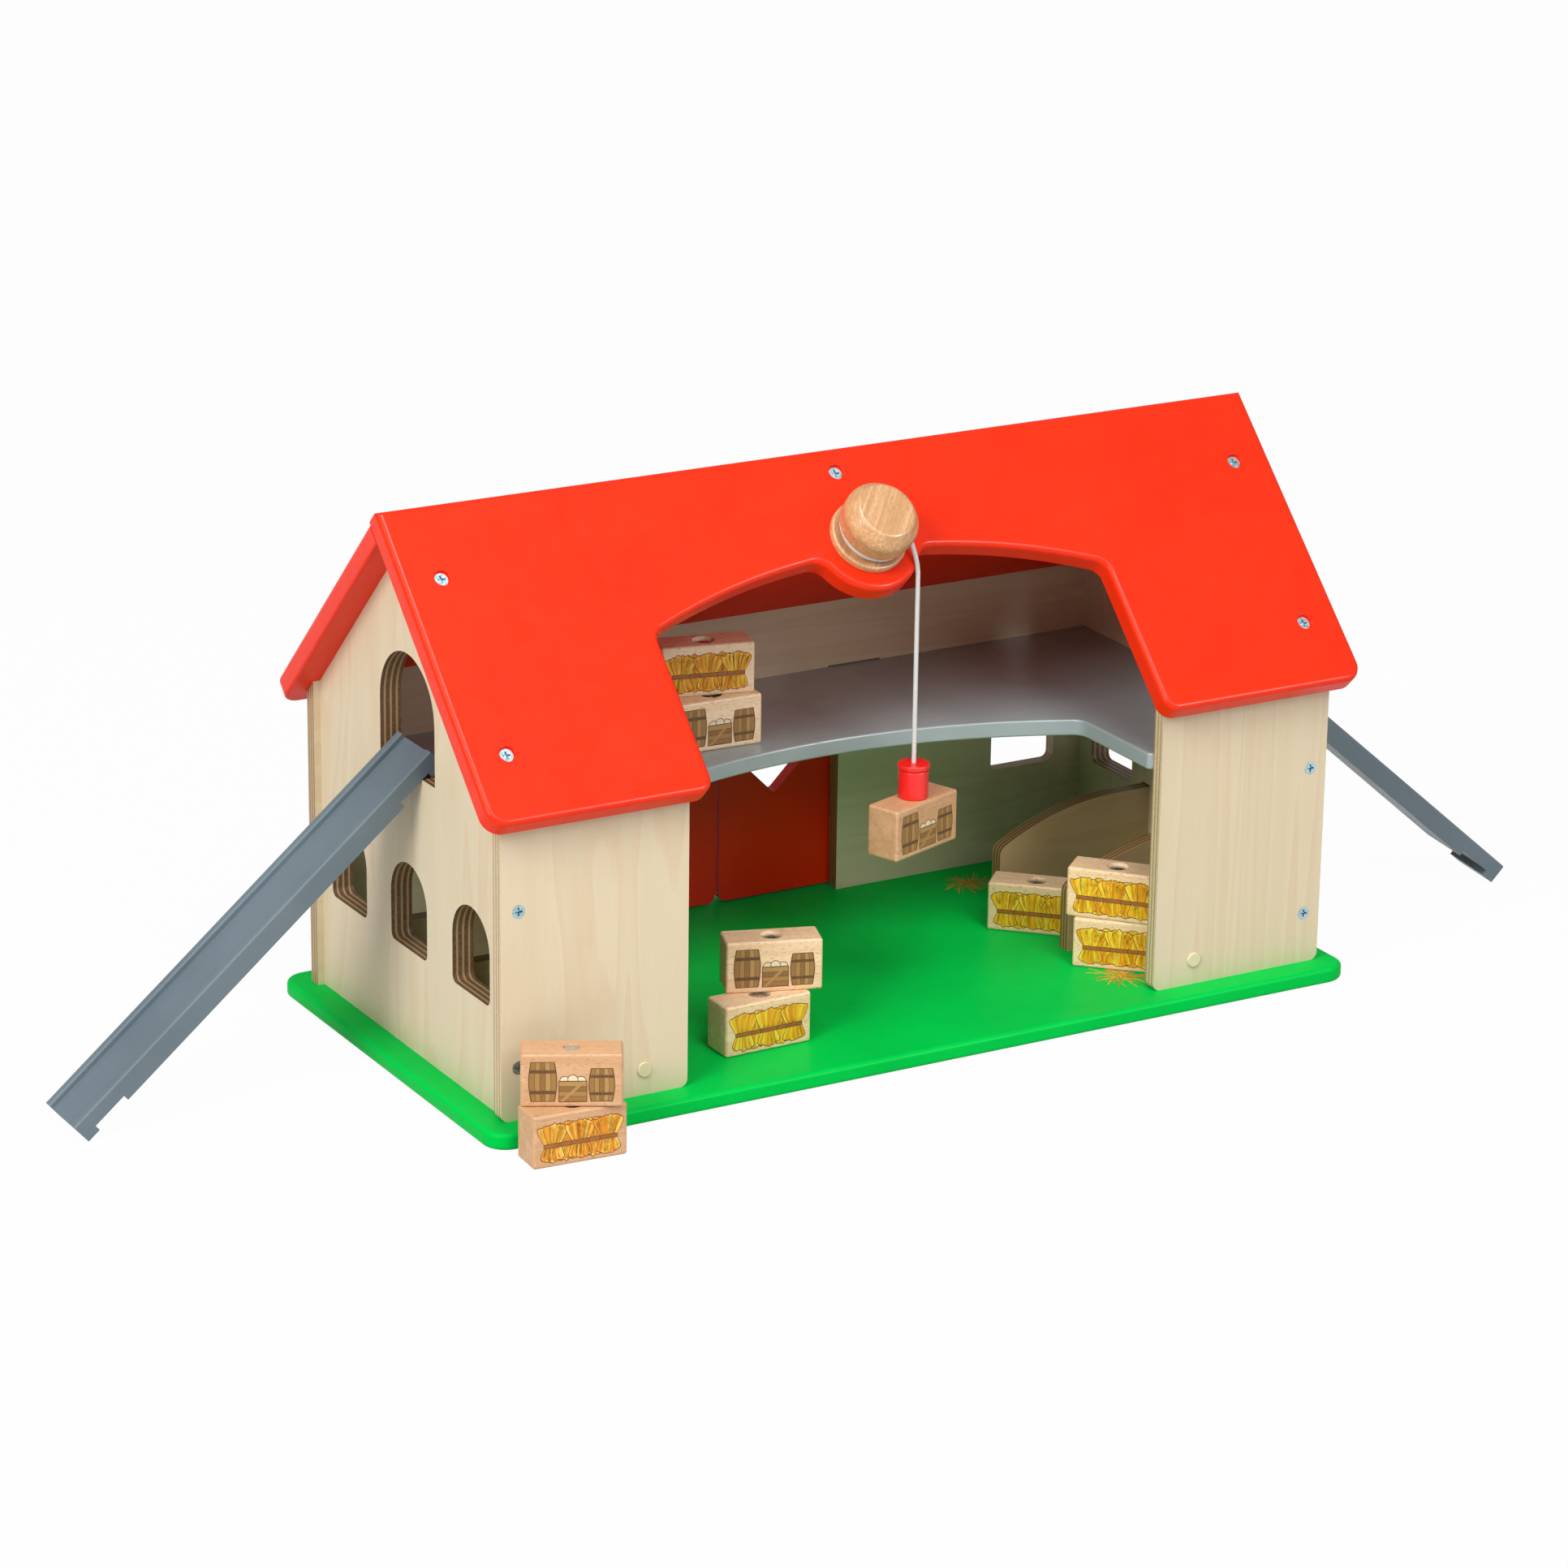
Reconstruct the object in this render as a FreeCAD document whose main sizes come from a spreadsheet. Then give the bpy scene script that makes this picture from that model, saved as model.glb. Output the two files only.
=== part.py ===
import FreeCAD, Part
import math
import os
import Sketcher

# Toy stable in millimetres. Origin: centre of the base board's underside.
# +X runs to the right along the ridge, +Y to the back, +Z up; the open front faces -Y.

doc = FreeCAD.newDocument("toy_stable")
sheet = doc.addObject("Spreadsheet::Sheet", "Sizes")
Vec = FreeCAD.Vector

SIZES = [
    # base board and house
    ("base_length", 520), ("base_width", 255), ("base_thick", 9),
    ("base_corner_round", 13), ("base_edge_round", 2.5),
    ("house_length", 488), ("house_depth", 224), ("end_wall_thick", 12),
    ("panel_thick", 8), ("panel_overhang", 4), ("front_gap_width", 284), ("panel_corner_round", 4),
    # roof boards; distances "down" run along the slope from the ridge
    ("ridge_height", 300), ("roof_length", 520), ("roof_slope_length", 180), ("roof_thick", 12),
    ("roof_pitch", 45), ("roof_corner_round", 10), ("roof_edge_round", 3), ("roof_under_round", 1.5),
    ("roof_gap_width", 270), ("roof_gap_crown", 62.3), ("roof_gap_rise", 27.2), ("roof_gap_round", 8),
    ("winch_down", 55), ("winch_out", 2), ("lug_radius", 30.2), ("lug_fillet", 10),
    # openings in the walls; a share is of the rise from the base to the eave, or of the attic
    ("doorway_width", 63), ("doorway_sill_share", 0.1408), ("doorway_spring_share", 0.3591),
    ("window_width", 42), ("window_sill_share", 0.3205), ("window_spring_share", 0.4734),
    ("window_corner_round", 4),
    ("window_pitch", 71), ("back_window_out", 193),
    ("door_opening_width", 143), ("door_opening_share", 0.6352),
    # loft floor
    ("loft_top_share", 0.7763), ("loft_thick", 9), ("loft_housing", 4), ("loft_front_crown", 6),
    ("loft_front_rise", 33), ("loft_gap_width", 278), ("loft_corner_round", 8),
    ("loft_edge_round", 1.2), ("loft_tab_width", 33), ("loft_tab_out", 80.5), ("loft_slot_slack", 0.8),
    # stall dividers
    ("divider_thick", 8), ("divider_reach", 98), ("divider_height", 57.5), ("divider_nose_height", 36),
    ("divider_flat", 22), ("divider_nose_round", 6), ("divider_housing", 4), ("divider_out", 35.5),
    # back doors with their pins and header
    ("door_thick", 8), ("door_gap", 2), ("door_floor_gap", 1.5), ("door_top_share", 0.6587),
    ("door_wall_gap", 1),
    ("door_pivot_out", 80), ("door_corner_round", 5), ("heart_side_share", 0.2172),
    ("heart_tip_share", 0.5294),
    ("heart_out", 36), ("heart_tip_round", 3), ("pin_radius", 1.5), ("pin_seat", 6), ("pin_hold", 14),
    ("header_length", 184), ("header_depth", 13), ("header_height", 9), ("header_gap", 1),
    # cleats
    ("ridge_cleat_length", 120), ("ridge_cleat_side", 20),
    ("panel_cleat_length", 40), ("panel_cleat_thick", 8), ("panel_cleat_height", 26),
    # screws
    ("roof_screw_head", 3.7), ("roof_screw_shank", 1.75), ("roof_screw_length", 32.6),
    ("wall_screw_head", 3.6), ("wall_screw_shank", 1.6), ("wall_screw_length", 28),
    ("short_screw_length", 14), ("screw_rim", 0.6), ("screw_taper", 2.4), ("screw_tip", 4),
    ("cross_length", 4.4), ("cross_width", 1), ("cross_depth", 1.8),
    ("roof_screw_sink", 1.9), ("sink_margin", 0.7), ("screw_end_out", 238),
    ("roof_screw_high", 42), ("roof_screw_low", 142.5), ("ridge_screw_down", 14.5),
    ("ridge_screw_out", 40), ("wall_screw_low_share", 0.1647), ("wall_screw_high_share", 0.6528),
    ("cap_in", 25), ("cap_height", 23),
    ("cap_radius", 4.1), ("cap_thick", 1.3), ("cap_round", 0.6),
    ("base_screw_out", 85), ("header_screw_out", 60),
    # winch
    ("flange_radius", 21), ("flange_thick", 3.6), ("flange_round", 1.4), ("core_radius", 16.2),
    ("groove_height", 7.4), ("knob_foot_radius", 20), ("knob_bulge_radius", 20.6),
    ("knob_bulge_height", 10.2), ("knob_bulge_round", 7), ("knob_flat_radius", 15.4),
    ("knob_height", 16.9), ("knob_rim_round", 2.5), ("knob_foot_round", 0.8),
    ("spindle_radius", 2.5), ("spindle_bite", 20), ("spindle_end", 8),
    ("slip_washer_radius", 12), ("slip_washer_thick", 0.5), ("nut_washer_radius", 7),
    ("nut_washer_thick", 1.2), ("nut_radius", 4.6), ("nut_height", 5), ("nut_play", 0.2),
    # cord, holder and blocks
    ("cord_radius", 1.2), ("winding_pitch", 3), ("cord_lift", 1.8), ("lead_bend_radius", 8),
    ("hoist_out", 24), ("hoist_forward", 54.5), ("hoist_block_top", 120.5),
    ("holder_radius", 8), ("holder_height", 15.5),
    ("holder_cap_radius", 8.5), ("holder_cap_thick", 3.5), ("holder_edge_round", 0.8),
    ("holder_cap_neck", 0.6), ("knot_radius", 3), ("magnet_radius", 5), ("magnet_thick", 4),
    ("block_length", 51), ("block_width", 20), ("block_height", 28), ("block_round", 1.5),
    ("insert_radius", 6), ("insert_thick", 3), ("insert_dome", 26), ("insert_depth", 4),
    ("flush_radius", 4.4),
    # ramps
    ("ramp_hook", 12.6), ("ramp_width", 38), ("ramp_thick", 11.5), ("ramp_rail", 5), ("ramp_channel", 3),
    ("ramp_foot", 8), ("ramp_notch", 20.5), ("ramp_step", 3.3), ("ramp_round", 1.2),
    ("left_ramp_angle", 40.1), ("left_ramp_back", 1.5),
    ("right_ramp_angle", 41.2), ("right_ramp_forward", 20), ("right_ramp_yaw", 7.5),
    # fits
    ("overrun", 2), ("fit_gap", 0.05), ("turn_gap", 0.1), ("rest_gap", 0.3),
]

# Loose blocks: place of the centre and turn about the vertical, and what each stands on.
BLOCKS = [
    ("yard_lower", -225.6, -145.8, -3.5, "table"),
    ("yard_upper", -223.8, -141.5, -27.0, "yard_lower"),
    ("front_lower", -81.5, -78.9, 1.1, "base"),
    ("front_upper", -70.2, -70.8, -18.8, "front_lower"),
    ("stall", 138.0, -0.6, -43.5, "base"),
    ("corner_lower", 149.1, -70.1, -43.4, "base"),
    ("corner_upper", 146.4, -67.1, -47.5, "corner_lower"),
    ("loft_lower", -58.5, 17.0, -2.0, "loft"),
    ("loft_upper", -59.0, 24.5, -13.0, "loft_lower"),
]

for block_name, across, along, turn, support in BLOCKS:
    SIZES.append((block_name + "_block_x", across))
    SIZES.append((block_name + "_block_y", along))
    SIZES.append((block_name + "_block_turn", turn))
SIZES.append(("hoist_block_turn", 20.4))

for row, (alias, number) in enumerate(SIZES, start=1):
    sheet.set("A%d" % row, alias)
    sheet.set("B%d" % row, repr(number))
    sheet.setAlias("B%d" % row, alias)
doc.recompute()


class Size:
    """A number read from the sheet together with the expression that gives it."""

    def __init__(self, value, text):
        self.value = value
        self.text = text

    def join(self, other, sign, value):
        return Size(value, "(%s %s %s)" % (self.text, sign, as_size(other).text))

    def __add__(self, other):
        return self.join(other, "+", self.value + as_size(other).value)

    def __sub__(self, other):
        return self.join(other, "-", self.value - as_size(other).value)

    def __mul__(self, other):
        return self.join(other, "*", self.value * as_size(other).value)

    def __truediv__(self, other):
        return self.join(other, "/", self.value / as_size(other).value)

    def __neg__(self):
        return Size(-self.value, "(0 - %s)" % self.text)


def as_size(item):
    return item if isinstance(item, Size) else Size(float(item), repr(item))


def cos_of(angle):
    return Size(math.cos(math.radians(angle.value)), "cos(%s)" % angle.text)


def sin_of(angle):
    return Size(math.sin(math.radians(angle.value)), "sin(%s)" % angle.text)


def tan_of(angle):
    return Size(math.tan(math.radians(angle.value)), "tan(%s)" % angle.text)


class Named:
    """Every sheet cell as an attribute."""


S = Named()
for alias, number in SIZES:
    setattr(S, alias, Size(float(sheet.get(alias)), "Sizes." + alias))
ZERO = Size(0.0, "0")


# Helpers: bodies, sketches tied to the sheet, pads, pockets and rounds.

def new_body(label):
    body = doc.addObject("PartDesign::Body", label)
    body.Label = label
    return body


def new_sketch(body, role, offset):
    sketch = body.newObject("Sketcher::SketchObject", body.Name + "_sketch")
    origin_plane = [item for item in body.Origin.OriginFeatures if item.Role == role][0]
    sketch.AttachmentSupport = [(origin_plane, "")]
    sketch.MapMode = "FlatFace"
    sketch.setExpression("AttachmentOffset.Base.z", offset.text)
    return sketch


def tie(sketch, index, end, across, upward):
    """Fix one sketch point by its two sheet distances from the sketch origin."""
    for kind, distance, axis in (("DistanceX", across, -2), ("DistanceY", upward, -1)):
        if distance.value == 0:
            sketch.addConstraint(Sketcher.Constraint("PointOnObject", index, end, axis))
            continue
        rule = sketch.addConstraint(
            Sketcher.Constraint(kind, -1, 1, index, end, distance.value))
        sketch.setExpression("Constraints[%d]" % rule, distance.text)


def draw_polygon(sketch, points):
    first = sketch.GeometryCount
    count = len(points)
    flat = [Vec(across.value, upward.value, 0) for across, upward in points]
    for step in range(count):
        sketch.addGeometry(Part.LineSegment(flat[step], flat[(step + 1) % count]))
    for step in range(count):
        sketch.addConstraint(Sketcher.Constraint(
            "Coincident", first + step, 2, first + (step + 1) % count, 1))
    for step in range(count):
        tie(sketch, first + step, 1, points[step][0], points[step][1])


def draw_box(sketch, left, right, bottom, top):
    draw_polygon(sketch, [(left, bottom), (right, bottom), (right, top), (left, top)])


def draw_circle(sketch, across, upward, radius):
    centre = Vec(across.value, upward.value, 0)
    index = sketch.addGeometry(Part.Circle(centre, Vec(0, 0, 1), radius.value))
    tie(sketch, index, 3, across, upward)
    rule = sketch.addConstraint(Sketcher.Constraint("Radius", index, radius.value))
    sketch.setExpression("Constraints[%d]" % rule, radius.text)


def draw_arched(sketch, points, radius, over):
    """An open chain of straight sides closed by one arc from its last point to its first."""
    first = sketch.GeometryCount
    flat = [Vec(across.value, upward.value, 0) for across, upward in points]
    last = len(points) - 1
    for step in range(last):
        sketch.addGeometry(Part.LineSegment(flat[step], flat[step + 1]))
        if step:
            sketch.addConstraint(Sketcher.Constraint("Coincident", first + step - 1, 2, first + step, 1))
    start, stop = flat[last], flat[0]
    chord = stop - start
    side = Vec(-chord.y, chord.x, 0).normalize()
    depth = math.sqrt(radius.value ** 2 - (chord.Length / 2) ** 2)
    centre = (start + stop) / 2 + side * (depth if over else -depth)
    begin = math.atan2(start.y - centre.y, start.x - centre.x)
    finish = math.atan2(stop.y - centre.y, stop.x - centre.x)
    circle = Part.Circle(centre, Vec(0, 0, 1), radius.value)
    angles = (begin, finish) if over else (finish, begin)
    arc = sketch.addGeometry(Part.ArcOfCircle(circle, angles[0], angles[1]))
    ends = (1, 2) if over else (2, 1)
    sketch.addConstraint(Sketcher.Constraint("Coincident", first + last - 1, 2, arc, ends[0]))
    sketch.addConstraint(Sketcher.Constraint("Coincident", arc, ends[1], first, 1))
    for step in range(last):
        tie(sketch, first + step, 1, points[step][0], points[step][1])
    tie(sketch, first + last - 1, 2, points[last][0], points[last][1])
    rule = sketch.addConstraint(Sketcher.Constraint("Radius", arc, radius.value))
    sketch.setExpression("Constraints[%d]" % rule, radius.text)


def pad(body, sketch, length):
    feature = body.newObject("PartDesign::Pad", body.Name + "_pad")
    feature.Profile = sketch
    feature.setExpression("Length", length.text)
    doc.recompute()
    return feature


def pocket(body, sketch, length):
    """Cut against the sketch normal and make sure that something came away."""
    before = body.Shape.Volume
    feature = body.newObject("PartDesign::Pocket", body.Name + "_pocket")
    feature.Profile = sketch
    feature.setExpression("Length", length.text)
    doc.recompute()
    if not body.Shape.Volume < before:
        raise RuntimeError("pocket cut nothing in " + body.Label)
    return feature


def revolve(body, sketch):
    feature = body.newObject("PartDesign::Revolution", body.Name + "_turned")
    feature.Profile = sketch
    feature.ReferenceAxis = (sketch, ["V_Axis"])
    feature.Angle = 360
    doc.recompute()
    return feature


def round_edges(body, radius, wanted):
    base = body.Tip
    names = []
    for index, edge in enumerate(base.Shape.Edges, start=1):
        if wanted(edge):
            names.append("Edge%d" % index)
    if not names:
        raise RuntimeError("no edge to round in " + body.Label)
    feature = body.newObject("PartDesign::Fillet", body.Name + "_round")
    feature.Base = (base, names)
    feature.setExpression("Radius", radius.text)
    doc.recompute()
    return feature


def near(first, second):
    return abs(first - second) < S.fit_gap.value / 10


def runs_along(edge, direction):
    if edge.Curve.TypeId != "Part::GeomLine":
        return False
    return abs(abs(edge.tangentAt(edge.FirstParameter).dot(direction)) - 1) < 1e-6


def all_at(edge, axis, level):
    """Both ends and the middle of the edge lie at one level along the axis."""
    box = edge.BoundBox
    low = getattr(box, axis + "Min")
    high = getattr(box, axis + "Max")
    return near(low, level.value) and near(high, level.value)


def place(item, across, along, upward, axis=Vec(0, 0, 1), angle=ZERO):
    item.Placement = FreeCAD.Placement(
        Vec(across.value, along.value, upward.value), FreeCAD.Rotation(axis, angle.value))
    item.setExpression("Placement.Base.x", across.text)
    item.setExpression("Placement.Base.y", along.text)
    item.setExpression("Placement.Base.z", upward.text)
    if angle.value:
        item.setExpression("Placement.Rotation.Angle", angle.text)


finished = {}


def keep(label, item):
    """Take an object as the finished sub-part of that name."""
    item.Label = label
    finished[label] = item
    return item


# Derived planes shared by several pieces.
half_length = S.house_length / 2
inner_end = half_length - S.end_wall_thick
half_depth = S.house_depth / 2
inner_depth = half_depth - S.panel_thick
panel_end = half_length + S.panel_overhang
roof_drop = S.roof_thick / cos_of(S.roof_pitch)
under_ridge = S.ridge_height - roof_drop
slope_fall = tan_of(S.roof_pitch)
inner_eave = under_ridge - inner_depth * slope_fall
outer_eave = under_ridge - half_depth * slope_fall
eave_rise = inner_eave - S.base_thick
loft_top = S.base_thick + eave_rise * S.loft_top_share
loft_under = loft_top - S.loft_thick
window_sill = S.base_thick + eave_rise * S.window_sill_share
window_spring = S.base_thick + eave_rise * S.window_spring_share
attic_rise = under_ridge - loft_top
doorway_sill = loft_top + attic_rise * S.doorway_sill_share
doorway_spring = loft_top + attic_rise * S.doorway_spring_share
door_opening_top = S.base_thick + eave_rise * S.door_opening_share
door_low = S.base_thick + S.door_floor_gap
door_top = S.base_thick + eave_rise * S.door_top_share
heart_side = (door_top - door_low) * S.heart_side_share
heart_tip = door_low + (door_top - door_low) * S.heart_tip_share
cap_out = S.front_gap_width / 2 + S.cap_in
diagonal_share = math.sqrt(0.5)

# Screws: one blank with its hole form, and groups of copies at named places.


def screw_points(head, shank, length, gap, sink):
    """Half outline of a countersunk screw, head face at the origin, widened by gap."""
    points = [(ZERO, ZERO), (head + gap, ZERO)]
    if sink is not None:
        wide = head + S.sink_margin
        points = [(ZERO, S.overrun), (wide, S.overrun), (wide, -sink), (head + gap, -sink)]
    base = ZERO if sink is None else sink
    return points + [
        (head + gap, -(base + S.screw_rim + gap)),
        (shank + gap, -(base + S.screw_rim + S.screw_taper + gap)),
        (shank + gap, -(base + length - S.screw_tip)),
        (ZERO, -(base + length + gap)),
    ]


def screw_pair(name, head, shank, length, sink):
    """The screw with its cross slot, and the plain form that bores its hole."""
    screw = new_body(name + "_pattern")
    sketch = new_sketch(screw, "XZ_Plane", ZERO)
    draw_polygon(sketch, screw_points(head, shank, length, ZERO, None))
    revolve(screw, sketch)
    for turned in (False, True):
        slot = new_sketch(screw, "XY_Plane", S.overrun)
        wide, deep = (S.cross_width, S.cross_length) if turned else (S.cross_length, S.cross_width)
        draw_box(slot, -(wide / 2), wide / 2, -(deep / 2), deep / 2)
        pocket(screw, slot, S.overrun + S.cross_depth)
    bore = new_body(name + "_bore")
    sketch = new_sketch(bore, "XZ_Plane", ZERO)
    draw_polygon(sketch, screw_points(head, shank, length, S.fit_gap, sink))
    revolve(bore, sketch)
    return screw, bore, sink


def at_place(position, outward):
    return FreeCAD.Placement(position, FreeCAD.Rotation(Vec(0, 0, 1), outward))


def moved(shape, spot):
    copy = shape.copy()
    copy.Placement = spot.multiply(copy.Placement)
    return copy


def group(label, shapes):
    item = doc.addObject("Part::Feature", label)
    item.Shape = Part.makeCompound(shapes)
    return item


def screw_group(label, pair, spots):
    """Copies of one screw, and the bores that receive them."""
    screw, bore, sink = pair
    lowered = FreeCAD.Placement(Vec(0, 0, -sink.value), FreeCAD.Rotation())
    screws = [moved(screw.Shape, spot.multiply(lowered)) for spot in spots]
    bores = group(label + "_bores", [moved(bore.Shape, spot) for spot in spots])
    keep(label, group(label, screws))
    return bores


def drilled(label, body, cutters):
    """The body with every bore taken out of it."""
    body.Label = label + "_blank"
    current = body
    for cutter in cutters:
        cut = doc.addObject("Part::Cut", label + "_drilled")
        cut.Base = current
        cut.Tool = cutter
        current = cut
    doc.recompute()
    return keep(label, current)


roof_pair = screw_pair("roof_screw", S.roof_screw_head, S.roof_screw_shank, S.roof_screw_length,
                       S.roof_screw_sink)
wall_pair = screw_pair("wall_screw", S.wall_screw_head, S.wall_screw_shank, S.wall_screw_length,
                       S.fit_gap)
short_pair = screw_pair("short_screw", S.wall_screw_head, S.wall_screw_shank, S.short_screw_length,
                        S.fit_gap)

# Roof frame: local Y of the front board runs up the slope, its Z is the outward normal.
pitch = math.radians(S.roof_pitch.value)
front_normal = Vec(0, -math.sin(pitch), math.cos(pitch))
back_normal = Vec(0, math.sin(pitch), math.cos(pitch))
front_down = Vec(0, -math.cos(pitch), -math.sin(pitch))
back_down = Vec(0, math.cos(pitch), -math.sin(pitch))
ridge = Vec(0, 0, S.ridge_height.value)

roof_spots = []
for down, normal, ridge_sides in ((front_down, front_normal, (0,)), (back_down, back_normal, (-1, 1))):
    for side in (-1, 1):
        for distance in (S.roof_screw_high, S.roof_screw_low):
            spot = ridge + down * distance.value + Vec(side * S.screw_end_out.value, 0, 0)
            roof_spots.append(at_place(spot, normal))
    for side in ridge_sides:
        spot = ridge + down * S.ridge_screw_down.value + Vec(side * S.ridge_screw_out.value, 0, 0)
        roof_spots.append(at_place(spot, normal))
roof_bores = screw_group("roof_screws", roof_pair, roof_spots)

wall_spots = []
wall_screw_low = S.base_thick + eave_rise * S.wall_screw_low_share
wall_screw_high = S.base_thick + eave_rise * S.wall_screw_high_share
for side in (-1, 1):
    for height in (wall_screw_low, wall_screw_high):
        for face in (-1, 1):
            spot = Vec(side * S.screw_end_out.value, face * half_depth.value, height.value)
            wall_spots.append(at_place(spot, Vec(0, face, 0)))
wall_bores = screw_group("wall_screws", wall_pair, wall_spots)

base_spots = []
for side in (-1, 1):
    for face in (-1, 1):
        spot = Vec(side * S.screw_end_out.value, face * S.base_screw_out.value, 0)
        base_spots.append(at_place(spot, Vec(0, 0, -1)))
base_bores = screw_group("base_screws", wall_pair, base_spots)

header_middle = door_top + S.header_gap + S.header_height / 2
cleat_spots = []
for side in (-1, 1):
    spot = Vec(side * cap_out.value, -half_depth.value, S.cap_height.value)
    cleat_spots.append(at_place(spot, Vec(0, -1, 0)))
    spot = Vec(side * S.header_screw_out.value, inner_depth.value, header_middle.value)
    cleat_spots.append(at_place(spot, Vec(0, -1, 0)))
cleat_bores = screw_group("cleat_screws", short_pair, cleat_spots)

# Base board: a plate with round corners and softened rims, bored for the door pins.
base = new_body("base_board")
sketch = new_sketch(base, "XY_Plane", ZERO)
draw_box(sketch, -(S.base_length / 2), S.base_length / 2, -(S.base_width / 2), S.base_width / 2)
pad(base, sketch, S.base_thick)
round_edges(base, S.base_corner_round, lambda edge: runs_along(edge, Vec(0, 0, 1)))
round_edges(base, S.base_edge_round, lambda edge: all_at(edge, "Z", S.base_thick))
round_edges(base, S.base_edge_round, lambda edge: all_at(edge, "Z", ZERO))
door_face = half_depth + S.door_wall_gap
door_middle = door_face + S.door_thick / 2
sketch = new_sketch(base, "XY_Plane", S.base_thick + S.overrun)
for side in (1, -1):
    draw_circle(sketch, S.door_pivot_out * side, door_middle, S.pin_radius + S.turn_gap)
pocket(base, sketch, S.overrun + S.pin_seat + S.turn_gap)
drilled("base_board", base, [base_bores])

# End walls: gable ends with three stall windows and an upper doorway, housed for loft and dividers.
for name, side in (("left", -1), ("right", 1)):
    wall = new_body(name + "_end_wall")
    start = inner_end if side > 0 else -half_length
    sketch = new_sketch(wall, "YZ_Plane", start)
    draw_polygon(sketch, [
        (-inner_depth, S.base_thick), (inner_depth, S.base_thick), (inner_depth, inner_eave),
        (ZERO, under_ridge), (-inner_depth, inner_eave)])
    pad(wall, sketch, S.end_wall_thick)
    through = start + S.end_wall_thick + S.overrun
    whole = S.end_wall_thick + S.overrun * 2
    half_window = S.window_width / 2
    half_doorway = S.doorway_width / 2
    sketch = new_sketch(wall, "YZ_Plane", through)
    for centre in (-S.window_pitch, ZERO, S.window_pitch):
        draw_box(sketch, centre - half_window, centre + half_window, window_sill, window_spring)
    draw_box(sketch, -half_doorway, half_doorway, doorway_sill, doorway_spring)
    pocket(wall, sketch, whole)
    round_edges(wall, S.window_corner_round, lambda edge: runs_along(edge, Vec(1, 0, 0))
                and all_at(edge, "Z", window_sill))
    sketch = new_sketch(wall, "YZ_Plane", through)
    for centre in (-S.window_pitch, ZERO, S.window_pitch):
        draw_circle(sketch, centre, window_spring, half_window)
    draw_circle(sketch, ZERO, doorway_spring, half_doorway)
    pocket(wall, sketch, whole)
    # housings in the inner face: the full loft thickness, and a slot for each divider
    mouth = inner_end + S.loft_housing if side > 0 else -(inner_end - S.overrun)
    sketch = new_sketch(wall, "YZ_Plane", mouth)
    draw_box(sketch, -(inner_depth + S.overrun), inner_depth + S.overrun, loft_under, loft_top)
    pocket(wall, sketch, S.loft_housing + S.overrun)
    mouth = inner_end + S.divider_housing if side > 0 else -(inner_end - S.overrun)
    sketch = new_sketch(wall, "YZ_Plane", mouth)
    half_slot = S.divider_thick / 2 + S.fit_gap
    for centre in (-S.divider_out, S.divider_out):
        draw_box(sketch, centre - half_slot, centre + half_slot, S.base_thick - S.overrun,
                 S.base_thick + S.divider_height + S.loft_slot_slack)
    pocket(wall, sketch, S.divider_housing + S.overrun)
    drilled(name + "_end_wall", wall, [roof_bores, wall_bores, base_bores])

# Front panels and back wall: their bevelled tops lie against the roof boards.
for name, side in (("left", -1), ("right", 1)):
    panel = new_body("front_%s_panel" % name)
    start = S.front_gap_width / 2 if side > 0 else -panel_end
    sketch = new_sketch(panel, "YZ_Plane", start)
    draw_polygon(sketch, [
        (-half_depth, S.base_thick), (-inner_depth, S.base_thick), (-inner_depth, inner_eave),
        (-half_depth, outer_eave)])
    pad(panel, sketch, panel_end - S.front_gap_width / 2)
    round_edges(panel, S.panel_corner_round, lambda edge: runs_along(edge, Vec(0, 1, 0))
                and all_at(edge, "Z", S.base_thick))
    drilled("front_%s_panel" % name, panel, [wall_bores, cleat_bores])

back = new_body("back_wall")
sketch = new_sketch(back, "YZ_Plane", -panel_end)
draw_polygon(sketch, [
    (inner_depth, S.base_thick), (half_depth, S.base_thick), (half_depth, outer_eave),
    (inner_depth, inner_eave)])
pad(back, sketch, panel_end * 2)
back_mouth = -(inner_depth - S.overrun)
back_through = S.panel_thick + S.overrun * 2
sketch = new_sketch(back, "XZ_Plane", back_mouth)
draw_box(sketch, -(S.door_opening_width / 2), S.door_opening_width / 2, S.base_thick - S.overrun,
         door_opening_top)
for side in (-1, 1):
    centre = S.back_window_out * side
    draw_box(sketch, centre - half_window, centre + half_window, window_sill, window_spring)
    tab = S.loft_tab_out * side
    half_tab = S.loft_tab_width / 2 + S.fit_gap
    draw_box(sketch, tab - half_tab, tab + half_tab, loft_under, loft_top + S.loft_slot_slack)
pocket(back, sketch, back_through)
round_edges(back, S.window_corner_round, lambda edge: runs_along(edge, Vec(0, 1, 0))
            and all_at(edge, "Z", window_sill))
sketch = new_sketch(back, "XZ_Plane", back_mouth)
for side in (-1, 1):
    draw_circle(sketch, S.back_window_out * side, window_spring, half_window)
pocket(back, sketch, back_through)
drilled("back_wall", back, [wall_bores, cleat_bores])

# Loft floor: housed in the end walls, tabbed through the back wall, with a curved front edge.
loft = new_body("loft_floor")
sketch = new_sketch(loft, "XY_Plane", loft_under)
loft_end = inner_end + S.loft_housing - S.fit_gap
half_loft_gap = S.loft_gap_width / 2
loft_corner = -(S.loft_front_crown + S.loft_front_rise)
loft_radius = (half_loft_gap * half_loft_gap + S.loft_front_rise * S.loft_front_rise) / (
    S.loft_front_rise * 2)
draw_arched(sketch, [
    (half_loft_gap, loft_corner), (half_loft_gap, -inner_depth), (loft_end, -inner_depth),
    (loft_end, inner_depth), (-loft_end, inner_depth), (-loft_end, -inner_depth),
    (-half_loft_gap, -inner_depth), (-half_loft_gap, loft_corner)], loft_radius, False)
pad(loft, sketch, S.loft_thick)
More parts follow.
